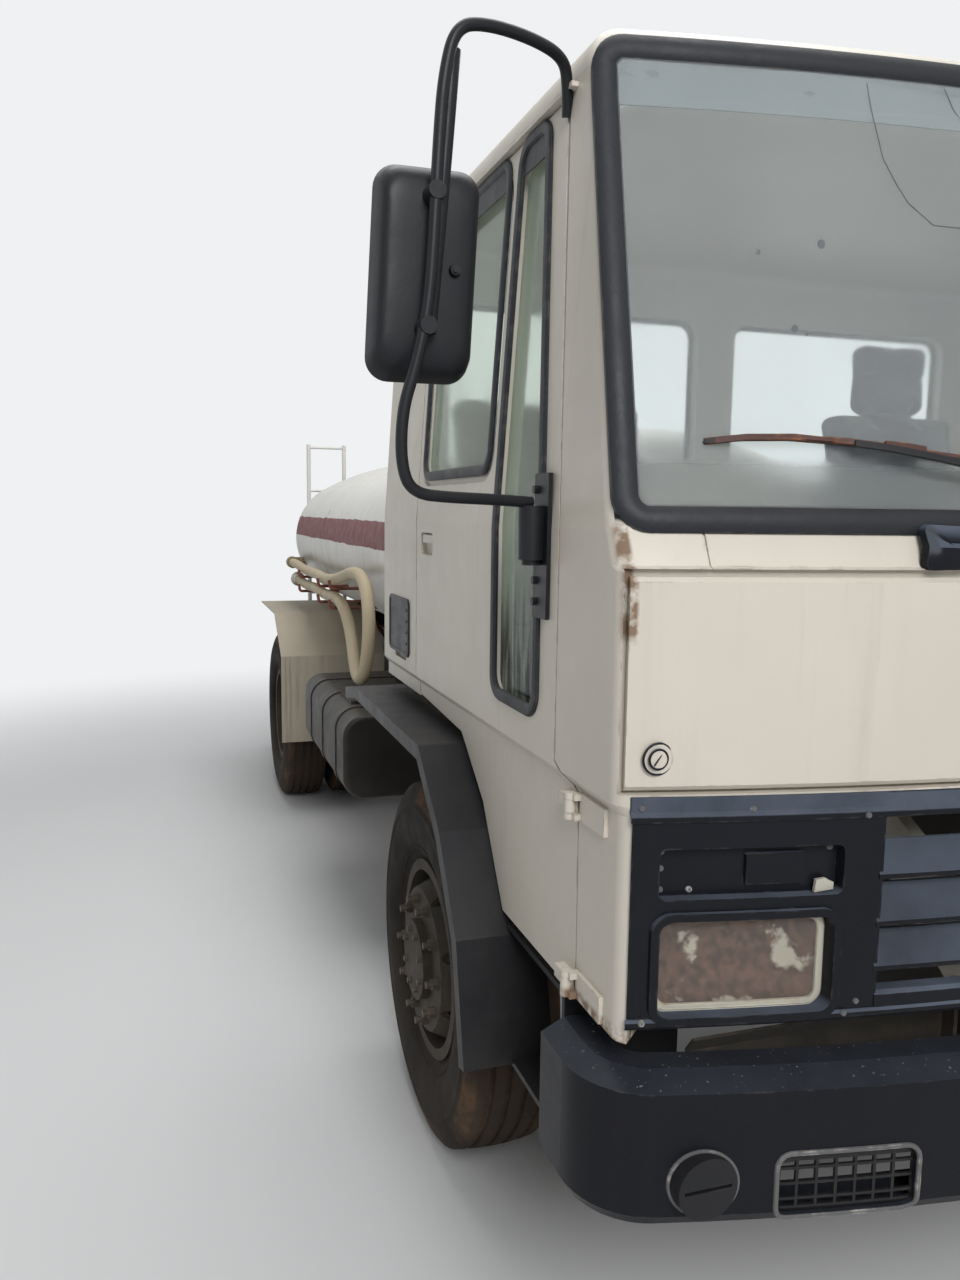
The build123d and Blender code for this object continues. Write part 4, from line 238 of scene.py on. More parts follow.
camera_data = bpy.data.cameras.new("camera")
camera_data.lens = CAMERA_LENS
camera_data.clip_end = CAMERA_REACH
camera = show("camera", camera_data)
bpy.context.scene.camera = camera
look = Vector((
    math.sin(CAMERA_YAW) * math.cos(CAMERA_PITCH),
    math.cos(CAMERA_YAW) * math.cos(CAMERA_PITCH),
    -math.sin(CAMERA_PITCH),
))
aim(camera, CAMERA_PLACE, look, CAMERA_ROLL)
print("camera looks along", [round(v, 3) for v in look])

# %% [markdown]
# The hose goes from its elbow on the tank to its coupling: 5.28 m of cream rubber hose, 55 mm thick.
# It runs forward over hooks on the tank's side, hangs down in a loop behind the cab and comes back
# under itself. A NURBS curve through the route's own points has one smooth line.

# %% Hose
HOSE_DIAMETER = 0.055
HOSE_EXIT = (-1.008, 2.36, 1.44)
HOSE_ROUTE = (
    HOSE_EXIT, (-1.008, 2.1, 1.44), (-1.01, 1.74, 1.424), (-1.008, 1.36, 1.432), (-1.011, 0.98, 1.424),
    (-1.008, 0.64, 1.444), (-1.011, 0.35, 1.486), (-1.014, 0.09, 1.516), (-1.016, -0.11, 1.496),
    (-1.022, -0.244, 1.396), (-1.03, -0.284, 1.246), (-1.034, -0.218, 1.11), (-1.032, -0.08, 1.052),
    (-1.024, 0.07, 1.094), (-1.016, 0.18, 1.204), (-1.011, 0.35, 1.306), (-1.008, 0.6, 1.358),
    (-1.011, 0.96, 1.34), (-1.008, 1.33, 1.352), (-1.011, 1.7, 1.338), (-1.008, 2.05, 1.346),
)
hose = smooth_tube("water_hose", HOSE_ROUTE, HOSE_DIAMETER / 2, 12, 6)
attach(hose, "chassis")
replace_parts(hose, "hose")
print("hose laid through", len(HOSE_ROUTE), "points")

# %% [markdown]
# The light is that of a plain studio: a pale floor, an even pale world and a few large soft lamps. The
# world shows near white to the camera, in gloss and through glass, but lights the truck gently, so that
# a colour renders about as it is written. The front gets most of the light, as under an open sky.

# %% Light
scene = bpy.context.scene
scene.view_settings.view_transform = "Standard"
WORLD_FILL = 0.24
WORLD_SHOWN = 0.93
WORLD_COLOUR = (0.93, 0.945, 0.955)
world = bpy.data.worlds.new("studio")
scene.world = world
world.use_nodes = True
background = world.node_tree.nodes["Background"]
background.inputs["Color"].default_value = (*WORLD_COLOUR, 1)
strength = step(world.node_tree, shown_ray(world.node_tree), 0, 1, WORLD_FILL, WORLD_SHOWN)
world.node_tree.links.new(strength, background.inputs["Strength"])

# name, place, aimed at, size, power
LAMPS = (
    ("key", (-2.0, -9.5, 6.0), (0, -1.5, 1.2), 4.0, 520),
    ("side", (-8.0, 1.0, 4.5), (0, 0.5, 1.2), 4.0, 25),
    ("top", (0.0, 0.0, 8.0), (0, 0, 1.5), 6.0, 330),
    ("far", (7.0, 3.0, 5.0), (0, 0, 1.2), 4.0, 90),
)
for name, place, target, size, power in LAMPS:
    lamp = bpy.data.lights.new(name, "AREA")
    lamp.shape = "DISK"
    lamp.size = size
    lamp.energy = power
    aim(show(name, lamp), place, Vector(target) - Vector(place))
print(len(LAMPS), "lamps")

# %% [markdown]
# The floor is a plain pale sheet that keeps the truck's shadow. Seen far away it would turn grey, since
# the lamps are near the truck, so beyond a few metres it fades into the colour of the world for the
# rays that show it.

# %% Floor
FLOOR_REACH = 60
FLOOR_FADE = (3.2, 7.5)
floor_mesh = bpy.data.meshes.new("floor")
floor_bm = bmesh.new()
bmesh.ops.create_grid(floor_bm, x_segments=4, y_segments=4, size=FLOOR_REACH)
floor_bm.to_mesh(floor_mesh)
floor_bm.free()
floor = show("floor", floor_mesh)
floor_finish, floor_tree, floor_shader = new_finish("floor_pale")
floor_shader.inputs["Base Color"].default_value = (0.70, 0.705, 0.71, 1)
floor_shader.inputs["Roughness"].default_value = 0.95
floor_shader.inputs["Specular IOR Level"].default_value = 0.1
far_glow = put(floor_tree, "ShaderNodeEmission", inputs={
    "Color": (*WORLD_COLOUR, 1), "Strength": WORLD_SHOWN,
}).outputs[0]
from_middle = put(floor_tree, "ShaderNodeVectorMath", {"operation": "LENGTH"}, {
    0: object_place(floor_tree),
}).outputs["Value"]
fade = put(floor_tree, "ShaderNodeMapRange", {"interpolation_type": "SMOOTHSTEP"}, {
    "Value": from_middle, "From Min": FLOOR_FADE[0], "From Max": FLOOR_FADE[1],
}).outputs[0]
faded_floor = put(floor_tree, "ShaderNodeMixShader", inputs={
    0: times(floor_tree, fade, shown_ray(floor_tree)), 1: floor_shader.outputs[0], 2: far_glow,
}).outputs[0]
floor_tree.links.new(faded_floor, floor_tree.nodes["Material Output"].inputs["Surface"])
floor_mesh.materials.append(floor_finish)
print("floor fades from", FLOOR_FADE[0], "to", FLOOR_FADE[1])

# %% [markdown]
# Dust lies on whatever faces up and thickens towards the ground, where the wheels throw it. One group
# makes the mask from the surface's direction and its height, so every material gets the same weather
# with its own amount. Object coordinates are used, because they stay on a piece when it moves.

# %% Dust group
dust, dust_in, dust_out = new_group(
    "dust_and_mud",
    (("Amount", FLOAT, 0.5), ("Low", FLOAT, 0.3), ("High", FLOAT, 1.6)),
    (("Mask", FLOAT),),
)
coords = object_place(dust)
height = axes(dust, coords)["Z"]
on_top = step(dust, axes(dust, true_normal(dust))["Z"], 0.25, 1.0, 0.0, 0.7)
near_ground = put(dust, "ShaderNodeMapRange", inputs={
    "Value": height, "From Min": dust_in.outputs["High"], "From Max": dust_in.outputs["Low"],
}).outputs[0]
lying = calc(dust, "MAXIMUM", on_top, times(dust, near_ground, 0.8))
patches = step(dust, noise(dust, coords, 3.5, 8), 0.3, 0.72, 0.25, 1.1)
fine = step(dust, noise(dust, coords, 60, 3), 0.25, 0.8, 0.7, 1.15)
film = calc(dust, "ADD", times(dust, lying, patches, fine), times(dust, patches, 0.08))
mask = put(dust, "ShaderNodeMath", {"operation": "MULTIPLY", "use_clamp": True}, {
    0: film, 1: dust_in.outputs["Amount"],
})
dust.links.new(mask.outputs[0], dust_out.inputs["Mask"])
print("dust group:", len(dust.nodes), "nodes")

# %% [markdown]
# Rain carries dirt down a panel in streaks, and stones chip the paint on its edges. Streaks are a noise
# squeezed sideways and drawn out along Z. The chips are a second, finer noise, let through where a
# rounded copy of the surface's normal differs from the true one, which happens only near an edge.

# %% Streak and chip groups
streaks, streaks_in, streaks_out = new_group(
    "rain_streaks", (("Amount", FLOAT, 0.4),), (("Mask", FLOAT),)
)
coords = object_place(streaks)
thin = noise(streaks, coords, 1.0, 5, (38, 38, 1.6))
broad = noise(streaks, coords, 1.0, 3, (9, 9, 0.9))
run = times(streaks, step(streaks, thin, 0.5, 0.72), step(streaks, broad, 0.42, 0.66))
upright = axes(streaks, true_normal(streaks))["Z"]
wall = step(streaks, calc(streaks, "ABSOLUTE", upright), 0.75, 0.3)
strength = times(streaks, run, wall, streaks_in.outputs["Amount"])
streaks.links.new(strength, streaks_out.inputs["Mask"])

chips, chips_in, chips_out = new_group(
    "edge_chips", (("Amount", FLOAT, 0.5), ("Width", FLOAT, 0.005), ("Spots", FLOAT, 0.0)),
    (("Mask", FLOAT),),
)
coords = object_place(chips)
rounded = put(chips, "ShaderNodeBevel", {"samples": 4}, {"Radius": chips_in.outputs["Width"]})
alike = put(chips, "ShaderNodeVectorMath", {"operation": "DOT_PRODUCT"}, {
    0: rounded.outputs[0], 1: true_normal(chips),
})
edge = step(chips, alike.outputs["Value"], 0.998, 0.93)
ragged = step(chips, noise(chips, coords, 30, 8), 0.5, 0.64)
spots = times(chips, step(chips, noise(chips, coords, 26, 5), 0.7, 0.74), chips_in.outputs["Spots"])
chipped = times(chips, calc(chips, "MAXIMUM", times(chips, edge, ragged), spots), chips_in.outputs["Amount"])
chips.links.new(put(chips, "ShaderNodeClamp", inputs={0: chipped}).outputs[0], chips_out.inputs["Mask"])
print("streak group:", len(streaks.nodes), "nodes, chip group:", len(chips.nodes), "nodes")

# %% [markdown]
# Most of the truck is painted metal or black plastic under the same weather, so one function builds
# such a finish from a row of numbers. The base colour drifts a little, the chips show another colour
# under it, rain streaks run down, and dust lies on top and takes the gloss away. A finish may also take
# marks of its own, given as a function that returns a mask and a colour.

# %% One function for weathered paint
DUST_COLOUR = (0.33, 0.275, 0.205)
GRIME_COLOUR = (0.13, 0.09, 0.06)


def weathered(slot, colour, drift=0.08, rough=0.45, metal=0.0, gloss=0.5, dusty=0.5, high=1.6, chipped=0.3,
              spots=0.0, under=(0.10, 0.055, 0.035), streaked=0.3, bump=0.05, grain=120, marks=()):
    """A painted or moulded surface under the truck's weather."""
    material, tree, shader = new_finish(slot)
    coords = object_place(tree)
    cloud = step(tree, noise(tree, coords, 2.3, 6), 0.3, 0.7)
    darker = rgba([c * (1 - drift) for c in colour])
    lighter = rgba([min(1, c * (1 + drift)) for c in colour])
    paint = blend_colour(tree, cloud, darker, lighter)
    chip = use_group(tree, chips, Amount=chipped, Spots=spots)
    patchy = step(tree, noise(tree, coords, 30, 4), 0.35, 0.65)
    bare = blend_colour(tree, patchy, rgba(under), rgba([c * 1.8 for c in under]))
    paint = blend_colour(tree, chip, paint, bare)
    paint = blend_colour(tree, use_group(tree, streaks, Amount=streaked), paint, rgba(GRIME_COLOUR))
    worn = chip
    for mark in marks:
        mark_mask, mark_colour = mark(tree, coords)
        paint = blend_colour(tree, mark_mask, paint, mark_colour)
        worn = calc(tree, "MAXIMUM", worn, mark_mask)
    dust_mask = use_group(tree, dust, Amount=dusty, High=high)
    paint = blend_colour(tree, dust_mask, paint, rgba(DUST_COLOUR))
    tree.links.new(paint, shader.inputs["Base Color"])
    worn = calc(tree, "MAXIMUM", dust_mask, worn)
    spread = step(tree, noise(tree, coords, 14, 5), 0.3, 0.7, rough * 0.85, rough * 1.15)
    dull = put(tree, "ShaderNodeMix", {"data_type": "FLOAT"}, {0: worn, 2: spread, 3: 0.88})
    tree.links.new(dull.outputs[0], shader.inputs["Roughness"])
    shader.inputs["Metallic"].default_value = metal
    shader.inputs["Specular IOR Level"].default_value = gloss
    relief = calc(tree, "SUBTRACT", noise(tree, coords, grain, 4), times(tree, chip, 0.8))
    relief = calc(tree, "ADD", relief, times(tree, noise(tree, coords, 6, 3), 0.6))
    bumped = put(tree, "ShaderNodeBump", inputs={"Height": relief, "Strength": bump, "Distance": 0.004})
    tree.links.new(bumped.outputs[0], shader.inputs["Normal"])
    return material


print("weathered paint ready")

# %% [markdown]
# Some marks belong to one place: rust in the joints of the cowl, black paint beside the windscreen, a
# painted reflection of the sky in pale blue-grey on black edges that face up, peeled specks along the
# bumper's top. Each is a mask from the point's own place on the truck, broken up by a noise, so that it
# needs no picture and stays there.

# %% Marks that belong to one place
SCREEN_SLOPE = 0.3185
SCREEN_FOOT_Y, SCREEN_FOOT_Z = CAB_FRONT_Y + 0.1695, 1.76
CENTRE_STRIP_Z, BUMPER_EDGE_Z = (1.307, 1.365), (0.846, 0.864)


def cowl_rust(tree, coords):
    """Rust in the joints at the ends of the cowl and under the flap."""
    place = axes(tree, coords)
    across = calc(tree, "ABSOLUTE", place["X"])
    joint = times(
        tree, within(tree, across, 1.128, 1.143, 0.006), within(tree, place["Z"], 1.60, 1.765, 0.02),
        step(tree, place["Y"], CAB_FRONT_Y + 0.22, CAB_FRONT_Y + 0.17),
    )
    foot = times(
        tree, within(tree, across, 1.05, 1.16, 0.01), within(tree, place["Z"], 0.9, 0.932, 0.012),
        step(tree, place["Y"], CAB_FRONT_Y + 0.36, CAB_FRONT_Y + 0.3),
    )
    torn = step(tree, noise(tree, coords, 40, 6), 0.38, 0.56)
    return times(tree, calc(tree, "MAXIMUM", joint, foot), torn, 0.85), (0.16, 0.075, 0.03, 1)


def seal_paint(tree, coords):
    """Black paint that ran past the windscreen seal onto the cream, with a ragged edge."""
    place = axes(tree, coords)
    across = calc(tree, "ABSOLUTE", place["X"])
    leaned = calc(tree, "SUBTRACT", place["Y"], calc(tree, "MULTIPLY", place["Z"], SCREEN_SLOPE))
    wander = step(tree, noise(tree, coords, 22, 7), 0.35, 0.65, -0.006, 0.007)
    edge = SCREEN_FOOT_Y - SCREEN_SLOPE * SCREEN_FOOT_Z + 0.006
    near = calc(tree, "LESS_THAN", calc(tree, "SUBTRACT", leaned, wander), edge)
    tall = within(tree, place["Z"], 1.78, 2.56, 0.006)
    return times(tree, near, tall, calc(tree, "GREATER_THAN", across, 1.06)), (0.012, 0.012, 0.014, 1)


def painted_sky_reflection(tree, coords):
    """A painted reflection of the sky: pale blue-grey on black surfaces which face up, thinner on the bumper.
    """
    height = axes(tree, coords)["Z"]
    upward = step(tree, axes(tree, put(tree, "ShaderNodeTexCoord").outputs["Normal"])["Z"], 0.12, 0.6)
    strength = step(tree, height, 0.88, 0.93, 0.16, 0.8)
    cloud = step(tree, noise(tree, coords, 8, 6), 0.3, 0.6, 0.55, 1.0)
    # The grille's centre strip gets the same painted reflection of the sky.
    strip = within(tree, height, *CENTRE_STRIP_Z, 0.003)
    lit = calc(tree, "MAXIMUM", times(tree, upward, strength), times(tree, strip, 0.62))
    return times(tree, lit, cloud), (0.12, 0.145, 0.19, 1)


def bumper_specks(tree, coords):
    """Pale specks where the paint has peeled along the bumper's top edge."""
    height = axes(tree, coords)["Z"]
    edge = within(tree, height, *BUMPER_EDGE_Z, 0.008)
    fine = step(tree, noise(tree, coords, 120, 4), 0.66, 0.71)
    broad = step(tree, noise(tree, coords, 7, 3), 0.42, 0.6)
    return times(tree, edge, fine, broad, 0.8), (0.38, 0.37, 0.35, 1)


print("marks ready for", len((cowl_rust, seal_paint, painted_sky_reflection, bumper_specks)), "places")

# %% [markdown]
# One row for each painted, moulded or cast finish. The numbers follow the photograph: the black parts
# are deep and get a blue-grey painted reflection of the sky only where it lies on them, the cream
# paint is a warm, slightly pinkish off-white, and the wheels are dark under brown dirt.

# %% Finishes of the hard pieces
PAINTS = {
    "cab_cream": dict(colour=(0.615, 0.57, 0.495), rough=0.4, drift=0.05, dusty=0.16, high=1.2, chipped=0.5,
                      spots=0.06, streaked=0.12, marks=(cowl_rust, seal_paint)),
    # The black trim's marks include a painted reflection of the sky on what faces up.
    "trim_black": dict(colour=(0.0085, 0.0095, 0.0135), rough=0.3, dusty=0.02, chipped=0.25, gloss=0.12,
                       under=(0.11, 0.105, 0.10), streaked=0.02, marks=(bumper_specks, painted_sky_reflection)),
    "plastic_black": dict(colour=(0.011, 0.012, 0.015), rough=0.42, dusty=0.05, chipped=0.12, streaked=0.03,
                          gloss=0.22, under=(0.09, 0.085, 0.08)),
    "frame_black": dict(colour=(0.012, 0.011, 0.010), rough=0.6, dusty=0.4, chipped=0.5, high=1.1),
    "axle_iron": dict(colour=(0.03, 0.025, 0.021), rough=0.7, dusty=0.5, high=1.0, bump=0.3, grain=60),
    "spring_steel": dict(colour=(0.05, 0.032, 0.022), rough=0.75, dusty=0.5, high=1.0, bump=0.2),
    "engine_iron": dict(colour=(0.05, 0.047, 0.044), rough=0.6, metal=0.3, dusty=0.5, high=1.5, bump=0.3,
                        grain=40),
    "radiator_grey": dict(colour=(0.035, 0.032, 0.03), rough=0.7, dusty=0.4, high=1.3, bump=0.4, grain=200),
    "exhaust_rust": dict(colour=(0.13, 0.065, 0.037), rough=0.85, dusty=0.4, bump=0.3, grain=80),
    "fuel_tank_grey": dict(colour=(0.014, 0.0135, 0.014), rough=0.45, dusty=0.22, high=1.1, chipped=0.5,
                           gloss=0.2),
    "mudguard_cream": dict(colour=(0.40, 0.355, 0.28), rough=0.65, dusty=0.5, high=1.3, chipped=0.9,
                           spots=0.8, streaked=0.8),
    "red_oxide": dict(colour=(0.17, 0.045, 0.03), rough=0.7, dusty=0.3, chipped=0.6, streaked=0.2),
    "valve_brass": dict(colour=(0.2, 0.15, 0.09), rough=0.5, metal=0.5, dusty=0.4),
    "coupling_alloy": dict(colour=(0.42, 0.42, 0.4), rough=0.42, metal=0.9, dusty=0.3, chipped=0.2),
    "wiper_rust": dict(colour=(0.065, 0.024, 0.018), rough=0.7, dusty=0.15, bump=0.25, grain=150, spots=0.5,
                       chipped=0.8, under=(0.2, 0.08, 0.03)),
    "dash_beige": dict(colour=(0.55, 0.53, 0.43), rough=0.7, dusty=0.2, chipped=0.1, streaked=0.0, bump=0.15),
    "seal_rubber": dict(colour=(0.017, 0.019, 0.024), rough=0.5, dusty=0.08, chipped=0.25, streaked=0.0,
                        under=(0.22, 0.20, 0.17), gloss=0.25, bump=0.3, grain=50),
    "rim_steel": dict(colour=(0.018, 0.0145, 0.012), rough=0.65, gloss=0.2, dusty=0.2, high=1.4, chipped=0.5,
                      bump=0.25, under=(0.11, 0.06, 0.035)),
    "hose_cream": dict(colour=(0.50, 0.42, 0.28), rough=0.6, dusty=0.4, high=2.0, chipped=0.0, streaked=0.2,
                       bump=0.3, grain=70),
}
finishes = {slot: weathered(slot, **row) for slot, row in PAINTS.items()}
print(len(finishes), "weathered finishes")

# %% [markdown]
# The tank is white, with a mauve-red band along each side. The band is paint and not a piece, so it is
# a mask from the surface's height. Rain has drawn grime down it and dirt gathers under its belly.

# %% Tank paint with its band
BAND_LOW, BAND_HIGH = 1.62, 1.74


def side_band(tree, coords):
    """The painted band, a little wavy and worn thin in places."""
    height = axes(tree, coords)["Z"]
    wavy = calc(tree, "ADD", height, step(tree, noise(tree, coords, 9, 3), 0.3, 0.7, -0.004, 0.004))
    faded = step(tree, noise(tree, coords, 20, 6), 0.25, 0.6, 0.84, 0.98)
    return times(tree, within(tree, wavy, BAND_LOW, BAND_HIGH, 0.001), faded), (0.225, 0.085, 0.09, 1)


def belly_dirt(tree, coords):
    """Brown dirt that climbs from the tank's lowest line."""
    height = axes(tree, coords)["Z"]
    low = step(tree, height, 1.4, 1.08)
    cloud = step(tree, noise(tree, coords, 5, 7), 0.35, 0.65)
    return times(tree, low, cloud, 0.7), (0.2, 0.14, 0.085, 1)


finishes["tank_white"] = weathered(
    "tank_white", (0.70, 0.69, 0.655), drift=0.04, rough=0.38, dusty=0.22, high=1.9, chipped=0.5, spots=0.1,
    streaked=0.45, bump=0.04, marks=(side_band, belly_dirt),
)
print("tank band from", BAND_LOW, "to", BAND_HIGH)

# %% [markdown]
# The tyres are worn and brown with dust, and an orange-brown mud has dried on their shoulders. The
# distance from the wheel's axis decides what lies where: dust on the sidewall, mud on the shoulder. A
# tyre turns with its wheel, and its object coordinates turn with it.

# %% Tyre rubber
MUD_COLOUR = (0.12, 0.068, 0.038)


def wheel_radius(tree, coords):
    """The distance from the nearer axle's line."""
    place = axes(tree, coords)
    middle = calc(tree, "SUBTRACT", place["Y"], (FRONT_AXLE_Y + REAR_AXLE_Y) / 2)
    along = calc(tree, "SUBTRACT", calc(tree, "ABSOLUTE", middle), (REAR_AXLE_Y - FRONT_AXLE_Y) / 2)
    up = calc(tree, "SUBTRACT", place["Z"], WHEEL_Z)
    squares = calc(tree, "ADD", calc(tree, "POWER", along, 2.0), calc(tree, "POWER", up, 2.0))
    return calc(tree, "SQRT", squares)


def shoulder_mud(tree, coords):
    """Dried mud in a ragged band round each shoulder, thick in places and gone in others."""
    radius = wheel_radius(tree, coords)
    band = within(tree, radius, TYRE_RADIUS - 0.055, TYRE_RADIUS - 0.016, 0.012)
    cloud = step(tree, noise(tree, coords, 4, 7), 0.43, 0.56)
    crumbs = step(tree, noise(tree, coords, 45, 5), 0.3, 0.5)
    return times(tree, band, cloud, crumbs, 0.85), rgba(MUD_COLOUR)


def tread_dust(tree, coords):
    """Brown dust on the tread and in patches on the sidewall."""
    face = step(tree, wheel_radius(tree, coords), TYRE_RADIUS - 0.03, TYRE_RADIUS - 0.015, 0.25, 0.9)
    cloud = step(tree, noise(tree, coords, 6, 8), 0.35, 0.7, 0.1, 0.8)
    return times(tree, cloud, face), (0.062, 0.038, 0.026, 1)


finishes["tyre_rubber"] = weathered(
    "tyre_rubber", (0.014, 0.013, 0.0125), drift=0.2, rough=0.8, gloss=0.12, dusty=0.1, high=0.5, chipped=0.0,
    streaked=0.0, bump=0.35, grain=80, marks=(tread_dust, shoulder_mud),
)
print("tyre rubber ready")

# %% [markdown]
# Glass needs no group for its optics: transmission, colour and index are plain numbers on the shader,
# and only the dust on it and a painted reflection vary. Each kind of glass has its own haze. The
# windscreen is a pale grey veil with a paler band of painted reflection of the dash at its foot, the side
# glass is greenish, and dark water marks have dried at the foot of the tall side windows.
# The lamps are clear over reflectors whose silver has browned.

# %% Glass and lamps
def glass_material(name, colour, haze, rough=0.03, dusty=0.1, clear=0.9, drips=0.0, foot=0.0):
    """Thin window glass with a film of dust, dried drips near its foot, and a band of painted reflection at
    its foot.
    """
    material, tree, shader = new_finish(name)
    coords = object_place(tree)
    film = step(tree, noise(tree, coords, 2.2, 7), 0.35, 0.75, 0.0, dusty)
    # foot paints a paler band in the haze's colour at the windscreen's foot: painted reflection of the dash.
    if foot:
        low = axes(tree, coords)["Z"]
        film = calc(tree, "MAXIMUM", film, step(tree, low, 1.885, 1.865, 0.0, foot))
    tint = blend_colour(tree, film, rgba(colour), rgba(haze))
    if drips:
        height = axes(tree, coords)["Z"]
        threads = step(tree, noise(tree, coords, 1.0, 5, (60, 60, 5)), 0.45, 0.58)
        ends = step(tree, calc(tree, "ADD", height, step(tree, threads, 0, 1, 0.0, -0.05)), 1.62, 1.42)
        tint = blend_colour(tree, times(tree, ends, threads, drips), tint, (0.02, 0.022, 0.02, 1))
    tree.links.new(tint, shader.inputs["Base Color"])
    tree.links.new(step(tree, film, 0, 1, rough, 0.6), shader.inputs["Roughness"])
    shader.inputs["Transmission Weight"].default_value = clear
    shader.inputs["IOR"].default_value = 1.12
    return material


# The windscreen's foot band is painted reflection of the dash.
screen_glass = glass_material(
    "screen_glass", (0.86, 0.90, 0.91), (0.62, 0.65, 0.64), dusty=0.25, clear=0.88, foot=0.5,
)
rear_glass = glass_material("rear_glass", (0.95, 0.98, 0.96), (0.6, 0.62, 0.6), dusty=0.06, clear=0.97)
finishes["window_glass"] = glass_material(
    "side_glass", (0.78, 0.87, 0.80), (0.5, 0.55, 0.48), dusty=0.35, clear=0.88, drips=0.9,
)
finishes["lamp_clear"] = glass_material(
    "lamp_clear", (0.93, 0.92, 0.89), (0.6, 0.52, 0.42), rough=0.05, dusty=0.12, clear=0.96,
)
finishes["lamp_red"] = glass_material(
    "lamp_red", (0.4, 0.02, 0.015), (0.25, 0.1, 0.06), rough=0.15, dusty=0.4, clear=0.3,
)


def browned(tree, coords):
    """Brown patches where the reflector's silver has gone, with rusty edges."""
    cloud = noise(tree, coords, 11, 5)
    mask = step(tree, cloud, 0.385, 0.44)
    return mask, blend_colour(tree, step(tree, noise(tree, coords, 60, 5), 0.4, 0.6),
                              (0.06, 0.028, 0.02, 1), (0.15, 0.08, 0.055, 1))


reflector = weathered("old_reflector", (0.50, 0.47, 0.40), rough=0.35, metal=0.35, dusty=0.1, chipped=0.2,
                      streaked=0.0, bump=0.1, marks=(browned,))


def cloth_finish(name, colour, thread):
    """Worn seat cloth: two crossing threads in relief, faded where it is rubbed."""
    material, tree, shader = new_finish(name)
    coords = object_place(tree)
    faded = step(tree, noise(tree, coords, 5, 6), 0.35, 0.7)
    cloth = blend_colour(tree, faded, rgba(colour), rgba([c * 1.7 for c in colour]))
    weave = []
    for direction in ("X", "Z"):
        wave = put(tree, "ShaderNodeTexWave", {"bands_direction": direction}, {
            "Vector": coords, "Scale": 90, "Distortion": 1.5, "Detail": 2,
        })
        weave.append(wave.outputs["Fac"])
    relief = calc(tree, "MAXIMUM", *weave)
    cloth = blend_colour(tree, times(tree, relief, 0.35), cloth, rgba(thread))
    dust_mask = use_group(tree, dust, Amount=0.25, High=1.0)
    tree.links.new(blend_colour(tree, dust_mask, cloth, rgba(DUST_COLOUR)), shader.inputs["Base Color"])
    shader.inputs["Roughness"].default_value = 0.92
    shader.inputs["Sheen Weight"].default_value = 0.2
    bumped = put(tree, "ShaderNodeBump", inputs={"Height": relief, "Strength": 0.4, "Distance": 0.002})
    tree.links.new(bumped.outputs[0], shader.inputs["Normal"])
    return material


driver_cloth = cloth_finish("driver_cloth", (0.055, 0.062, 0.08), (0.10, 0.11, 0.13))
passenger_cloth = cloth_finish("passenger_cloth", (0.095, 0.065, 0.045), (0.16, 0.12, 0.09))
finishes["seat_cloth"] = driver_cloth
print("glass, lamps and cloth ready")

# %% [markdown]
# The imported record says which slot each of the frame's nodes has, so every node gets the finish of its
# slot here. Nodes that a new piece replaces later get one too, though they don't show then.

# %% Give every node its finish
for part in frame["record"]["subparts"]:
    node = frame["nodes"][part["node"]]
    node.data.materials.clear()
    node.data.materials.append(finishes[part["material_slot"]])
hose.data.materials.append(finishes["hose_cream"])
print(len(frame["nodes"]), "nodes finished")

# %% [markdown]
# New pieces are made from points and faces. A few helpers are enough: one turns them into a piece that
# rides on a body, one rounds an outline's corners, one sweeps a section round a closed path, one fills
# an outline with a closed sheet, and one finds the frame's surface, so that a small piece sits on it.

# %% Helpers for pieces
def fit_out(piece, body, slot, finish=None):
    """Gives a piece its finish, by its slot where none is named, and the body that it rides on."""
    piece.data.materials.append(finish or finishes[slot])
    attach(piece, body)
    return piece


def make_piece(name, shapes, body, slot, finish=None, sharp=40):
    """A mesh piece from one or more (verts, faces)."""
    verts, faces = join_shapes(shapes)
    mesh = bpy.data.meshes.new(name)
    mesh.from_pydata([tuple(v) for v in verts], [], faces)
    mesh.validate()
    outward = bmesh.new()
    outward.from_mesh(mesh)
    bmesh.ops.recalc_face_normals(outward, faces=outward.faces)
    outward.to_mesh(mesh)
    outward.free()
    mesh.polygons.foreach_set("use_smooth", [True] * len(mesh.polygons))
    mesh.set_sharp_from_angle(angle=math.radians(sharp))
    return fit_out(show(name, mesh), body, slot, finish)


def join_shapes(shapes):
    """Several (verts, faces) as one."""
    verts, faces = [], []
    for shape_verts, shape_faces in shapes:
        faces += [[index + len(verts) for index in face] for face in shape_faces]
        verts += shape_verts
    return verts, faces


def rounded_outline(corners, radius, turns=7, spacing=0.06):
    """A closed outline in a plane, its corners rounded and its straight runs divided."""
    corners = [Vector(corner) for corner in corners]
    arcs = []
    for index, corner in enumerate(corners):
        back = (corners[index - 1] - corner).normalized()
        on = (corners[(index + 1) % len(corners)] - corner).normalized()
        half = back.angle(on) / 2
        reach = radius / math.tan(half)
        centre = corner + (back + on).normalized() * (radius / math.sin(half))
        first, last = corner + back * reach - centre, corner + on * reach - centre
        turn = first.angle(last)
        arc = []
        for count in range(turns + 1):
            share = count / turns
            a, b = math.sin((1 - share) * turn) / math.sin(turn), math.sin(share * turn) / math.sin(turn)
            arc.append(centre + first * a + last * b)
        arcs.append(arc)
    points = []
    for index, arc in enumerate(arcs):
        points += arc
        start, end = arc[-1], arcs[(index + 1) % len(arcs)][0]
        pieces_in_run = max(1, int((end - start).length / spacing))
        points += [start.lerp(end, count / pieces_in_run) for count in range(1, pieces_in_run)]
    return points


def rounded_box(low, high, radius, **more):
    """The rounded outline of a rectangle between two corners."""
    return rounded_outline((low, (high[0], low[1]), high, (low[0], high[1])), radius, **more)


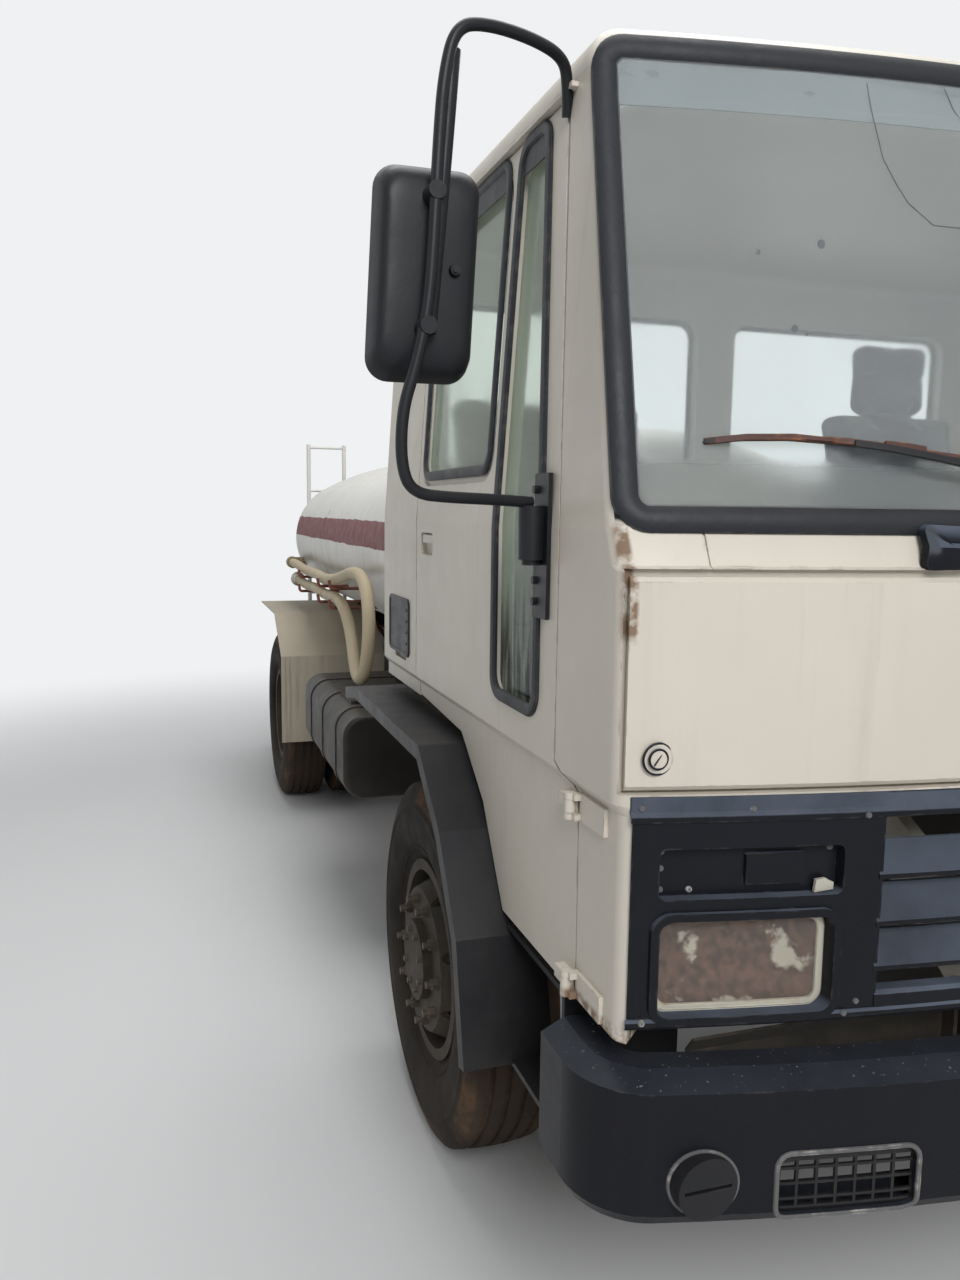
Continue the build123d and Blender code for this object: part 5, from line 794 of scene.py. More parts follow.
def circle(x, z, radius, count):
    """Points round a circle."""
    turns = [2 * math.pi * index / count for index in range(count)]
    return [(x + radius * math.cos(turn), z + radius * math.sin(turn)) for turn in turns]


def middle_of(outline):
    """The mean of an outline's points."""
    return sum(outline, Vector((0, 0))) / len(outline)


def shrunk(outline, middle, share):
    """An outline drawn in towards a point."""
    return [middle + (point - middle) * share for point in outline]


def always(x, y, z):
    """An outward direction that is the same at every point."""
    return lambda point: Vector((x, y, z))


def ring_faces(count, size):
    """Faces between sections of so many points that follow each other round a closed path."""
    faces = []
    for index in range(count):
        here, there = index * size, (index + 1) % count * size
        for side in range(size):
            nearby = (side + 1) % size
            faces.append([here + side, here + nearby, there + nearby, there + side])
    return faces


def swept_ring(path, outward, section):
    """A section of (sideways, outward) points swept round a closed path of 3-D points."""
    verts, count = [], len(path)
    for index, point in enumerate(path):
        along = (path[(index + 1) % count] - path[index - 1]).normalized()
        out = outward(point)
        out = (out - along * out.dot(along)).normalized()
        aside = out.cross(along)
        verts += [point + aside * a + out * b for a, b in section]
    return verts, ring_faces(count, len(section))


def bead_section(width, proud, sunk=0.002):
    """A low rounded bead, as (sideways, outward) points."""
    half = width / 2
    return (
        (-half, -sunk), (-half, proud * 0.35), (-half * 0.7, proud * 0.85), (0, proud),
        (half * 0.7, proud * 0.85), (half, proud * 0.35), (half, -sunk),
    )


def filled_sheet(outline, place, rings=8, dish=None):
    """A closed sheet over an outline. place(a, b, share, back) gives its 3-D points, front and back."""
    middle = middle_of(outline)
    count = len(outline)
    verts, faces = [], []
    for back in (False, True):
        for ring in range(rings):
            share = 1 - ring / rings
            spread = dish(share) if dish else share
            for point in outline:
                flat = middle + (point - middle) * spread
                verts.append(place(flat[0], flat[1], share, back))
        verts.append(place(middle[0], middle[1], 0, back))
    layer = rings * count + 1
    for back in (0, layer):
        for ring in range(rings - 1):
            for index in range(count):
                nearby = (index + 1) % count
                outer, inner = back + ring * count, back + (ring + 1) * count
                faces.append([outer + index, outer + nearby, inner + nearby, inner + index])
        last = back + (rings - 1) * count
        for index in range(count):
            faces.append([last + index, last + (index + 1) % count, back + layer - 1])
    for index in range(count):
        nearby = (index + 1) % count
        faces.append([index, nearby, layer + nearby, layer + index])
    return verts, faces


def prism(points, along):
    """A closed prism: points lifted by a vector."""
    count = len(points)
    verts = [Vector(p) for p in points] + [Vector(p) + along for p in points]
    faces = [list(range(count)), list(range(2 * count - 1, count - 1, -1))]
    faces += [[i, (i + 1) % count, count + (i + 1) % count, count + i] for i in range(count)]
    return verts, faces


def rod(start, end, radius, segments=16, tip=None):
    """A closed cylinder or cone between two points."""
    start, end = Vector(start), Vector(end)
    axis = (end - start).normalized()
    first = axis.orthogonal().normalized()
    second = axis.cross(first)
    verts, faces = [], []
    for centre, size in ((start, radius), (end, radius if tip is None else tip)):
        for index in range(segments):
            turn = 2 * math.pi * index / segments
            verts.append(centre + (first * math.cos(turn) + second * math.sin(turn)) * size)
    faces = [list(range(segments)), list(range(2 * segments - 1, segments - 1, -1))]
    for index in range(segments):
        nearby = (index + 1) % segments
        faces.append([index, nearby, segments + nearby, segments + index])
    return verts, faces


def surface_of(*names):
    """A tree of the frame's surfaces, to find where a small piece sits."""
    verts, faces = [], []
    for name in names:
        mesh = frame["nodes"][name].data
        start = len(verts)
        verts += [v.co.copy() for v in mesh.vertices]
        faces += [[start + index for index in polygon.vertices] for polygon in mesh.polygons]
    return BVHTree.FromPolygons(verts, faces)


def bent_tube(name, points, radius, body, slot):
    """A bent metal tube through its points."""
    return fit_out(smooth_tube(name, points, radius, 10, 5), body, slot)


print("piece helpers ready")

# %% [markdown]
# The front of the cab leans back above the cowl and is bowed from side to side, and the roof rolls over
# from it. Glass, seal and marks on the front all need that surface, so it is one function. Above the
# joint with the roof it follows the roof's rolled edge.

# %% The cab's front and side surfaces
CREASE_Z, ROOF_FOOT_Z, ROOF_TURN_Z, ROOF_TURN = 1.76, 2.545, 2.565, 0.08
LEAN_START, LEAN_RISE = 0.045, 0.25
SILL_Z, LOWER_SIDE_X, UPPER_SIDE_X, SIDE_LEAN = 1.302, 1.136, 1.15, 0.052


def front_y(x):
    """Y of the cab's front below the cowl, bowed from side to side."""
    return CAB_FRONT_Y + FACE_RADIUS - math.sqrt(FACE_RADIUS ** 2 - x ** 2)


def face_y(x, z):
    """Y of the cab's front surface over its windscreen."""
    share = (min(z, ROOF_FOOT_Z) - CREASE_Z) / (ROOF_FOOT_Z - CREASE_Z)
    lean = LEAN_START + LEAN_RISE * share
    if z > ROOF_TURN_Z:
        lean += ROOF_TURN - math.sqrt(ROOF_TURN ** 2 - (z - ROOF_TURN_Z) ** 2)
    return front_y(x) + lean


def before_face(x, z, lift=0.0):
    """A point on the cab's front, or so far before it."""
    return Vector((x, face_y(x, z) - lift, z))


def face_normal(point):
    """The direction that the cab's front faces at a point."""
    x, z, e = point[0], point[2], 0.002
    return Vector((
        (face_y(x + e, z) - face_y(x - e, z)) / (2 * e), -1, (face_y(x, z + e) - face_y(x, z - e)) / (2 * e),
    )).normalized()


def side_x(z):
    """Half the cab's width at a height."""
    if z < SILL_Z:
        return LOWER_SIDE_X
    if z < CREASE_Z:
        return UPPER_SIDE_X
    return UPPER_SIDE_X - SIDE_LEAN * (z - CREASE_Z) / (ROOF_FOOT_Z - CREASE_Z)


print("cab front at the crease", round(face_y(0, CREASE_Z), 3), "half width there", side_x(CREASE_Z))

# %% [markdown]
# The windscreen reaches up to the roof's edge and sits in a broad black rubber seal. Behind the glass's
# upper edge a mid-grey sheet of painted shade hides the header and stands for the shade inside the cab.
# The glass is a bowed sheet over a rounded outline, and the seal is a rounded section swept round the
# same outline, so the two always fit.

# %% Windscreen, its seal and the rear windows
SCREEN_CORNERS = ((-1.126, 1.779), (1.126, 1.779), (1.078, 2.588), (-1.078, 2.588))
SHADE_CORNERS = ((-1.08, 2.484), (1.08, 2.484), (1.072, 2.58), (-1.072, 2.58))
SCREEN_ROUND, SHADE_ROUND = 0.036, 0.02
SEAL_WIDTH, SEAL_PROUD, SEAL_SUNK = 0.046, 0.013, 0.006
GLASS_LIFT, GLASS_THICK, SHADE_LIFT = 0.0065, 0.003, 0.005
REAR_PANES, REAR_PANE_Z, REAR_PANE_ROUND = ((-0.95, -0.07), (0.07, 0.95)), (1.90, 2.44), 0.06
CAB_REAR_Y = FRONT_AXLE_Y + 0.505
screen_outline = rounded_outline(SCREEN_CORNERS, SCREEN_ROUND)


def on_face(lift):
    """A placing function for a sheet that follows the cab's front."""
    return lambda a, b, share, back: before_face(a, b, lift - (GLASS_THICK if back else 0))


windscreen = make_piece(
    "windscreen", [filled_sheet(screen_outline, on_face(GLASS_LIFT + 0.002), rings=14)], "cab",
    "window_glass", screen_glass,
)
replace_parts(windscreen, "cab_glass")
# A mid-grey sheet of painted shade over the header, where the inside of the cab lies in shade.
painted_shade_sheet = weathered(
    "painted_shade_sheet", (0.16, 0.18, 0.185), rough=0.6, gloss=0.2, dusty=0.1, chipped=0.0, streaked=0.0,
)
shade = filled_sheet(rounded_outline(SHADE_CORNERS, SHADE_ROUND), on_face(SHADE_LIFT), rings=3)
make_piece("header_painted_shade", [shade], "cab", "seal_rubber", painted_shade_sheet)
seal_path = [before_face(x, z) for x, z in screen_outline]
seal_ring = swept_ring(seal_path, face_normal, bead_section(SEAL_WIDTH, SEAL_PROUD, SEAL_SUNK))
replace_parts(make_piece("windscreen_rubber", [seal_ring], "cab", "seal_rubber"), "windscreen_seal")

panes, pane_beads = [], []
for low_x, high_x in REAR_PANES:
    outline = rounded_box((low_x, REAR_PANE_Z[0]), (high_x, REAR_PANE_Z[1]), REAR_PANE_ROUND)
    panes.append(filled_sheet(
        outline, lambda a, b, share, back: Vector((a, CAB_REAR_Y - (0.018 if back else 0.014), b)), rings=4,
    ))
    path = [Vector((x, CAB_REAR_Y, z)) for x, z in outline]
    pane_beads.append(swept_ring(path, always(0, 1, 0), bead_section(0.03, 0.006)))
make_piece("rear_windows", panes, "cab", "window_glass", rear_glass)
make_piece("rear_window_rubber", pane_beads, "cab", "seal_rubber")
print("windscreen outline", len(screen_outline), "points")

# %% [markdown]
# The windscreen is cracked: a long thin line runs down from its top and turns sideways, with small
# chips beside it. Each crack is a chain of hair-thin rods that lie on the glass.

# %% Cracks and chips in the windscreen
CRACKS = (
    ((-0.608, 2.555), (-0.605, 2.51), (-0.598, 2.416), (-0.58, 2.37), (-0.562, 2.335), (-0.52, 2.298),
     (-0.44, 2.296)),
    ((-0.452, 2.56), (-0.437, 2.523), (-0.42, 2.499), (-0.36, 2.47)),
)
CHIPS = ((-0.856, 2.23, 0.005), (-0.74, 2.25, 0.008), (-0.81, 2.098, 0.007), (-0.79, 2.09, 0.004))
CRACK_RADIUS, CRACK_LIFT = 0.0009, GLASS_LIFT + 0.0026
CHIP_HEIGHT, CHIP_LIFT = 0.0015, GLASS_LIFT + 0.002
crack_shapes = []
for line in CRACKS:
    points = [before_face(x, z, CRACK_LIFT) for x, z in line]
    crack_shapes += [rod(start, end, CRACK_RADIUS, 5) for start, end in zip(points, points[1:])]
for x, z, size in CHIPS:
    centre = before_face(x, z, CHIP_LIFT)
    crack_shapes.append(rod(centre, centre - Vector((0, CHIP_HEIGHT, 0)), size, 9, size * 0.3))
crack_finish = weathered("crack_line", (0.12, 0.13, 0.135), rough=0.3, dusty=0.1, chipped=0.0, streaked=0.0)
make_piece("windscreen_cracks", crack_shapes, "cab", "window_glass", crack_finish)
print(len(crack_shapes), "crack rods and chips")

# %% [markdown]
# Each door has a tall window in front and the main window behind it, both held by black rubber. The
# beads follow the openings on the door's outer skin, and a black sheet closes the head of each window.

# %% Rubber round the door windows
WINDOW_HEAD, WINDOW_TOP, WINDOW_ROUND = 2.47, 2.53, 0.045
TALL_WINDOW = ((-0.88, 1.40), (-0.62, 1.40), (-0.62, WINDOW_TOP), (-0.768, WINDOW_TOP), (-0.88, 1.85))
MAIN_WINDOW = ((-0.545, 1.88), (0.02, 1.88), (0.02, WINDOW_TOP), (-0.545, WINDOW_TOP))
WINDOW_HEADS = ((-0.768, -0.62), (-0.545, 0.02))
for side, sign in SIDES:
    beads = []
    for corners, width, proud in ((TALL_WINDOW, 0.026, 0.009), (MAIN_WINDOW, 0.024, 0.007)):
        outline = rounded_outline([(FRONT_AXLE_Y + y, z) for y, z in corners], WINDOW_ROUND)
        path = [Vector((sign * side_x(z), y, z)) for y, z in outline]
        beads.append(swept_ring(path, always(sign, 0, 0.06), bead_section(width, proud)))
    for low_y, high_y in WINDOW_HEADS:
        low, high = (FRONT_AXLE_Y + low_y, WINDOW_HEAD), (FRONT_AXLE_Y + high_y, WINDOW_TOP)
        beads.append(filled_sheet(
            rounded_box(low, high, 0.02, spacing=0.1),
            lambda a, b, share, back: Vector((sign * (side_x(b) - 0.001 + (0.003 if back else 0)), a, b)),
            rings=2,
        ))
    make_piece(f"door_rubber_{side}", beads, f"door_{side}", "seal_rubber")
print("door rubbers on both sides")

# %% [markdown]
# The mirror's housing is a dished black shell with its glass facing the rear, and its arm is one bent
# tube that leaves the top of the door, drops in front of the housing and turns back to a socket on the
# door's front edge. A second, thicker tube clamps the housing to it. A knob holds the clamp. The points
# are those of the truck's right side, measured from the front axle, and serve for both sides.

# %% Mirrors and their arms
ARM = (
    (-1.103, -0.858, 2.505), (-1.110, -0.875, 2.56), (-1.130, -0.895, 2.592), (-1.20, -0.925, 2.600),
    (-1.29, -0.955, 2.597), (-1.346, -0.96, 2.584), (-1.366, -0.96, 2.504), (-1.374, -0.96, 2.40),
    (-1.381, -0.96, 2.257), (-1.390, -0.96, 2.13), (-1.412, -0.958, 2.03), (-1.434, -0.955, 1.96),
    (-1.436, -0.95, 1.87), (-1.415, -0.945, 1.818), (-1.34, -0.935, 1.812), (-1.25, -0.92, 1.810),
    (-1.178, -0.908, 1.806),
)
SLEEVE = ((-1.346, -0.945, 2.552), (-1.358, -0.945, 2.40), (-1.372, -0.945, 2.24), (-1.386, -0.945, 2.09))
ARM_RADIUS, SLEEVE_RADIUS = 0.0105, 0.013
HEAD_MIDDLE, HEAD_HALF, HEAD_ROUND, HEAD_TILT = (-1.382, 2.198), (0.095, 0.184), 0.042, 0.05
HEAD_BACK_Y, HEAD_FRONT_Y = FRONT_AXLE_Y - 0.878, FRONT_AXLE_Y - 0.925
FOOT_PLATE = ((-1.151, -0.94, 1.59), (-1.151, -0.87, 1.59), (-1.149, -0.87, 1.86), (-1.149, -0.94, 1.86))
# start, end, radius, sides, tip: knob, its stud, socket, its foot, three screws, two clamps
FITTINGS = (
    ((-1.337, -0.929, 2.20), (-1.337, -0.943, 2.20), 0.012, 20, 0.009),
    ((-1.337, -0.943, 2.20), (-1.337, -0.946, 2.20), 0.006, 12, 0.006),
    ((-1.176, -0.905, 1.70), (-1.176, -0.905, 1.80), 0.025, 24, 0.025),
    ((-1.176, -0.905, 1.69), (-1.176, -0.905, 1.70), 0.018, 24, 0.018),
    ((-1.157, -0.885, 1.62), (-1.166, -0.885, 1.62), 0.008, 6, 0.008),
    ((-1.157, -0.885, 1.66), (-1.166, -0.885, 1.66), 0.008, 6, 0.008),
    ((-1.157, -0.885, 1.83), (-1.166, -0.885, 1.83), 0.008, 6, 0.008),
    ((-1.378, -0.927, 2.32), (-1.378, -0.972, 2.32), 0.017, 18, 0.015),
    ((-1.392, -0.927, 2.10), (-1.392, -0.972, 2.10), 0.017, 18, 0.015),
)
mirror_silver, silver_tree, silver_shader = new_finish("mirror_silver")
silver_shader.inputs["Metallic"].default_value = 1.0
silver_dust = step(silver_tree, noise(silver_tree, object_place(silver_tree), 9, 7), 0.4, 0.75, 0, 0.5)
silver_colour = blend_colour(silver_tree, silver_dust, (0.78, 0.8, 0.8, 1), rgba(DUST_COLOUR))
silver_tree.links.new(silver_colour, silver_shader.inputs["Base Color"])
silver_tree.links.new(step(silver_tree, silver_dust, 0, 0.5, 0.04, 0.5), silver_shader.inputs["Roughness"])


def on_side(points, sign):
    """Points of the right side, on the side that the sign says."""
    return [(-sign * x, FRONT_AXLE_Y + y, z) for x, y, z in points]


def head_place(a, b, share, back):
    """The housing: a rim at the glass, steep sides and a low bulge on its front."""
    if back:
        return Vector((a, HEAD_BACK_Y - (0 if share > 0.96 else 0.006), b))
    rise = (1 - share ** 7) * (HEAD_BACK_Y - HEAD_FRONT_Y)
    return Vector((a, HEAD_BACK_Y - rise - 0.008 * (1 - share ** 2), b))


def glass_place(a, b, share, back):
    """The mirror's glass, a thin sheet just inside the rim."""
    return Vector((a, HEAD_BACK_Y - (0.004 if back else 0.001), b))


for side, sign in SIDES:
    body = f"door_{side}"
    bent_tube(f"mirror_arm_{side}", on_side(ARM, sign), ARM_RADIUS, body, "plastic_black")
    bent_tube(f"mirror_sleeve_{side}", on_side(SLEEVE, sign), SLEEVE_RADIUS, body, "plastic_black")
    middle_x, middle_z = -sign * HEAD_MIDDLE[0], HEAD_MIDDLE[1]
    low = (middle_x - HEAD_HALF[0], middle_z - HEAD_HALF[1])
    high = (middle_x + HEAD_HALF[0], middle_z + HEAD_HALF[1])
    outline = rounded_box(low, high, HEAD_ROUND, turns=8, spacing=0.03)
    outline = [Vector((a - sign * HEAD_TILT * (b - middle_z), b)) for a, b in outline]
    housing = filled_sheet(outline, head_place, rings=10, dish=lambda share: share ** 0.45)
    head = make_piece(f"mirror_head_{side}", [housing], body, "plastic_black", sharp=60)
    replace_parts(head, f"mirror_{side}")
    glass_outline = shrunk(outline, Vector((middle_x, middle_z)), 0.93)
    glass = filled_sheet(glass_outline, glass_place, rings=3)
    make_piece(f"mirror_glass_{side}", [glass], body, "coupling_alloy", mirror_silver)
    shapes = [prism(on_side(FOOT_PLATE, sign), Vector((sign * 0.008, 0, 0)))]
    for start, end, radius, sides, tip in FITTINGS:
        shapes.append(rod(*on_side((start, end), sign), radius, sides, tip))
    make_piece(f"mirror_fittings_{side}", shapes, body, "plastic_black")
print("mirrors on both doors")

# %% [markdown]
# The headlamps are shallow silvered bowls behind a flat clear lens with rounded corners. The silver has
# browned in patches. The bowl is a closed sheet whose rings sink towards the middle, and the lens is a
# thin domed sheet over the same outline, with a pale inner frame between them.

# %% Headlamps
LAMP_X, LAMP_Z, LAMP_ROUND = (0.788, 1.077), (0.968, 1.127), 0.024
LAMP_SINK, LENS_DOME, BOWL_DEPTH, BOWL_SHARE = 0.010, 0.007, 0.055, 0.975


def lens_place(a, b, share, back):
    """The lens, domed a little towards the front."""
    return Vector((a, front_y(a) + LAMP_SINK - LENS_DOME * (1 - share ** 4) + (0.003 if back else 0), b))


def bowl_place(a, b, share, back):
    """The bowl, sunk towards its middle."""
    sunk = LAMP_SINK + 0.006 + BOWL_DEPTH * (1 - share ** 2.6)
    return Vector((a, front_y(a) + sunk + (0.002 if back else 0), b))


lenses, bowls, frames = [], [], []
for side, sign in SIDES:
    low_x, high_x = sorted((sign * LAMP_X[0], sign * LAMP_X[1]))
    outline = rounded_box((low_x, LAMP_Z[0]), (high_x, LAMP_Z[1]), LAMP_ROUND, spacing=0.02)
    lenses.append(filled_sheet(outline, lens_place, rings=10))
    inner = shrunk(outline, middle_of(outline), BOWL_SHARE)
    bowls.append(filled_sheet(inner, bowl_place, rings=12, dish=lambda share: share ** 0.8))
    rim = [Vector((x, front_y(x) + LAMP_SINK + 0.004, z)) for x, z in inner]
    frames.append(swept_ring(rim, always(0, -1, 0), bead_section(0.014, 0.002, 0.004)))
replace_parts(make_piece("headlamp_lenses", lenses, "cab", "lamp_clear"), "headlamps")
make_piece("headlamp_bowls", bowls, "cab", "lamp_clear", reflector)
frame_finish = weathered(
    "lamp_frame", (0.52, 0.50, 0.43), rough=0.4, dusty=0.2, chipped=0.9, spots=0.6, under=(0.20, 0.085, 0.03),
)
make_piece("headlamp_frames", frames, "cab", "lamp_clear", frame_finish)

# %% [markdown]
# Small things tell the eye how big the truck is: screws in the grille's pockets, scuffed rims round the
# bumper's openings, the lock rings on the flap, a torn scrap in the right-hand pocket and the black
# covers over the wiper spindles. The screws and rims sit where a line cast from in front meets the
# frame's surface. The rest follow the curve of the cab's front.

# %% Screws, rims, locks and covers on the front
SCREWS = ((1.068, 1.176), (1.068, 1.212), (1.068, 1.24), (0.782, 1.176), (0.782, 1.24), (1.02, 1.175),
          (1.112, 1.32), (0.93, 1.316), (1.104, 0.958), (0.76, 0.958), (0.735, 1.30), (0.735, 0.975))
FOG_MIDDLE, FOG_HALF, FOG_ROUND = (0.75, 0.665), (0.126, 0.061), 0.026
COVER_MIDDLE, COVER_RADIUS = (1.0, 0.68), 0.058
LOCK_MIDDLE, LOCK_RINGS, LOCK_SLOT = (1.088, 1.400), ((0.0255, 0.0035), (0.016, 0.0065)), (0.007, 0.010)
# x, how far before the pocket's floor, z
SCRAP = ((-0.815, 0, 1.167), (-0.778, 0, 1.169), (-0.781, 0.004, 1.183), (-0.79, 0.002, 1.187),
         (-0.797, 0.005, 1.192), (-0.812, 0, 1.189))
SPINDLES, SPINDLE_HALF, COWL_STEP_Z = (-0.60, 0.26), 0.052, 1.74
grille_surface, bumper_surface = surface_of("grille"), surface_of("front_bumper")
scuffed = weathered(
    "scuffed_edge", (0.10, 0.10, 0.105), rough=0.5, dusty=0.1, chipped=1.0, spots=1.0,
    under=(0.30, 0.29, 0.27),
)


def seat_on(surface, x, z, start_y=-4.0):
    """The Y where a line along +Y at x, z first meets the surface."""
    hit = surface.ray_cast(Vector((x, start_y, z)), Vector((0, 1, 0)), 2.5)[0]
    return hit[1] if hit else None


def bumper_bead(outline, width, proud):
    """A bead on the bumper along an outline."""
    path = [Vector((x, seat_on(bumper_surface, x, z) or front_y(x), z)) for x, z in outline]
    return swept_ring(path, always(0, -1, 0), bead_section(width, proud))


def cover_place(a, b, share, back):
    """A spindle's cover, domed before the cowl's step."""
    behind = 0.02 if b < COWL_STEP_Z else 0.036
    return Vector((a, front_y(a) + behind - (0 if back else 0.016 + 0.012 * (1 - share ** 3)), b))


screws, rims, lock_shapes, covers = [], [], [], []
for sign in (1, -1):
    for x, z in SCREWS:
        y = seat_on(grille_surface, sign * x, z)
        if y is not None:
            screws.append(rod((sign * x, y + 0.001, z), (sign * x, y - 0.0025, z), 0.006, 12, 0.0045))
    fog_x, fog_z = sign * FOG_MIDDLE[0], FOG_MIDDLE[1]
    low, high = (fog_x - FOG_HALF[0], fog_z - FOG_HALF[1]), (fog_x + FOG_HALF[0], fog_z + FOG_HALF[1])
    rims.append(bumper_bead(rounded_box(low, high, FOG_ROUND, spacing=0.03), 0.009, 0.004))
    cover_x, cover_z = sign * COVER_MIDDLE[0], COVER_MIDDLE[1]
    rims.append(bumper_bead(circle(cover_x, cover_z, COVER_RADIUS, 40), 0.006, 0.004))
    lock_x, lock_z = sign * LOCK_MIDDLE[0], LOCK_MIDDLE[1]
    for radius, lift in LOCK_RINGS:
        path = [Vector((x, front_y(lock_x) - lift, z)) for x, z in circle(lock_x, lock_z, radius, 36)]
        lock_shapes.append(swept_ring(path, always(0, -1, 0), bead_section(0.0035, 0.0012)))
    slot_x, slot_y, slot_z = LOCK_SLOT[0], front_y(lock_x) - 0.0058, LOCK_SLOT[1]
    lock_shapes.append(rod(
        (lock_x - slot_x, slot_y, lock_z - slot_z), (lock_x + slot_x, slot_y, lock_z + slot_z), 0.0016, 8,
    ))
make_piece("grille_screws", screws, "cab", "trim_black", scuffed)
make_piece("bumper_rims", rims, "chassis", "trim_black", scuffed)
make_piece("flap_lock_rings", lock_shapes, "front_panel", "trim_black")
scrap_y = front_y(-0.80) + 0.004
scrap = prism([(x, scrap_y - before, z) for x, before, z in SCRAP], Vector((0, 0.006, 0)))
make_piece("grille_scrap", [scrap], "cab", "cab_cream", frame_finish)
for middle in SPINDLES:
    low_x, high_x, slanted_x = middle - SPINDLE_HALF, middle + SPINDLE_HALF, middle - SPINDLE_HALF * 0.85
    corners = ((low_x, 1.701), (high_x, 1.704), (high_x, 1.772), (slanted_x, 1.776))
    covers.append(filled_sheet(rounded_outline(corners, 0.012, turns=4, spacing=0.02), cover_place, rings=5))
make_piece("spindle_covers", covers, "cab", "trim_black")
print(len(screws), "screws,", len(rims), "rims,", len(lock_shapes), "lock shapes")

# %% [markdown]
# The wipers lie almost flat along the foot of the windscreen. Each has a thin arm from its spindle, a
# rusty blade holder with three yokes, and a rubber strip on the glass. A flat strap swept along a line
# in front of the glass serves for all of them, so each follows the bowed glass.

# %% Wipers
WIPER_SHIFTS = (0.0, 0.93)
BLADE = ((-0.992, 1.904), (-0.93, 1.911), (-0.85, 1.913), (-0.76, 1.908), (-0.67, 1.899), (-0.57, 1.888),
         (-0.45, 1.874), (-0.33, 1.858), (-0.22, 1.842))
WIPER_ARM = ((-0.755, 1.905, 0.040), (-0.70, 1.898, 0.046), (-0.62, 1.884, 0.050), (-0.56, 1.872, 0.052),
             (-0.40, 1.850, 0.052), (-0.20, 1.815, 0.046), (-0.06, 1.782, 0.036), (0.0, 1.752, 0.030))
CLIP = ((-0.70, 1.9025), (-0.665, 1.899), (-0.63, 1.8945))
YOKES, YOKE_LIFTS = ((0, 3), (2, 5), (5, 8)), (0.011, 0.029, 0.029, 0.011)
SPINE_LIFT, CLIP_LIFT, RUBBER_LIFT = 0.024, 0.034, 0.013


def strap(points, wide, thick):
    """A closed flat bar along points before the glass: wide across them, thick outwards."""
    verts, faces = [], []
    for index, point in enumerate(points):
        along = (points[min(index + 1, len(points) - 1)] - points[max(index - 1, 0)]).normalized()
        out = face_normal(point)
        out = (out - along * out.dot(along)).normalized()
        aside = out.cross(along)
        for a, b in ((-1, -1), (1, -1), (1, 1), (-1, 1)):
            verts.append(point + aside * (a * wide / 2) + out * (b * thick / 2))
    for index in range(len(points) - 1):
        start = index * 4
        faces += [[start + i, start + (i + 1) % 4, start + 4 + (i + 1) % 4, start + 4 + i] for i in range(4)]
    end = 4 * (len(points) - 1)
    faces += [[3, 2, 1, 0], [end, end + 1, end + 2, end + 3]]
    return verts, faces


metal_shapes, rubber_shapes = [], []
for shift in WIPER_SHIFTS:
    metal_shapes.append(strap([before_face(x + shift, z, SPINE_LIFT) for x, z in BLADE[1:]], 0.006, 0.011))
    for first, last in YOKES:
        held = zip(BLADE[first:last + 1], YOKE_LIFTS)
        yoke = [before_face(x + shift, z + 0.001, lift) for (x, z), lift in held]
        metal_shapes.append(strap(yoke, 0.010, 0.004))
    metal_shapes.append(strap([before_face(x + shift, z, CLIP_LIFT) for x, z in CLIP], 0.014, 0.014))
    rubber = [before_face(x + shift, z, RUBBER_LIFT) for x, z in BLADE]
    rubber_shapes.append(strap(rubber, 0.007, 0.009))
    rubber_shapes.append(strap([p + Vector((0, 0.005, 0)) for p in rubber], 0.002, 0.006))
    rubber_shapes.append(strap([before_face(x + shift, z, lift) for x, z, lift in WIPER_ARM], 0.011, 0.006))
    foot = before_face(shift, WIPER_ARM[-1][1])
    rubber_shapes.append(rod(foot + Vector((0, 0.008, 0)), foot - Vector((0, 0.036, 0)), 0.014, 20, 0.012))
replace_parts(make_piece("wiper_blades", metal_shapes, "cab", "wiper_rust", sharp=30), "wipers")
make_piece("wiper_arms", rubber_shapes, "cab", "wiper_rust", finishes["plastic_black"], sharp=30)
print(len(WIPER_SHIFTS), "wipers")

# %% [markdown]
# Behind the bumper's top edge one looks into the dark under the cab. A black splash plate closes the
# way there, with a folded lip, and stays with the chassis when the cab tilts. The small vent at the rear
# of each cab side is a black plastic box whose cover has broken off.

# %% Splash plate and broken side vents
PLATE_X, PLATE_Y, PLATE_Z = 0.98, FRONT_AXLE_Y - 1.205, (0.60, 0.885)
# y from the plate, z from its lower or upper edge
PLATE_SECTION = ((0, PLATE_Z[0]), (0, PLATE_Z[1] - 0.03), (-0.02, PLATE_Z[1]), (-0.016, PLATE_Z[1] + 0.003),
                 (0.008, PLATE_Z[1] - 0.028), (0.008, PLATE_Z[0]))
plate = prism([(-PLATE_X, PLATE_Y + y, z) for y, z in PLATE_SECTION], Vector((2 * PLATE_X, 0, 0)))
make_piece("splash_plate", [plate], "chassis", "frame_black", sharp=30)
VENT_Y, VENT_Z, VENT_ROUND, VENT_FLOOR_X = (0.165, 0.41), (1.365, 1.525), 0.015, 1.1495
SLAT_LENGTHS, SLAT_GAP = (0.2, 0.12, 0.17, 0.2), 0.033


def vent_floor(sign):
    """A placing function for the vent's back plate, a little dished behind."""
    return lambda a, b, share, back: Vector((
        sign * (VENT_FLOOR_X + (0.0035 - 0.002 * (1 - share) if back else 0)), a, b,
    ))


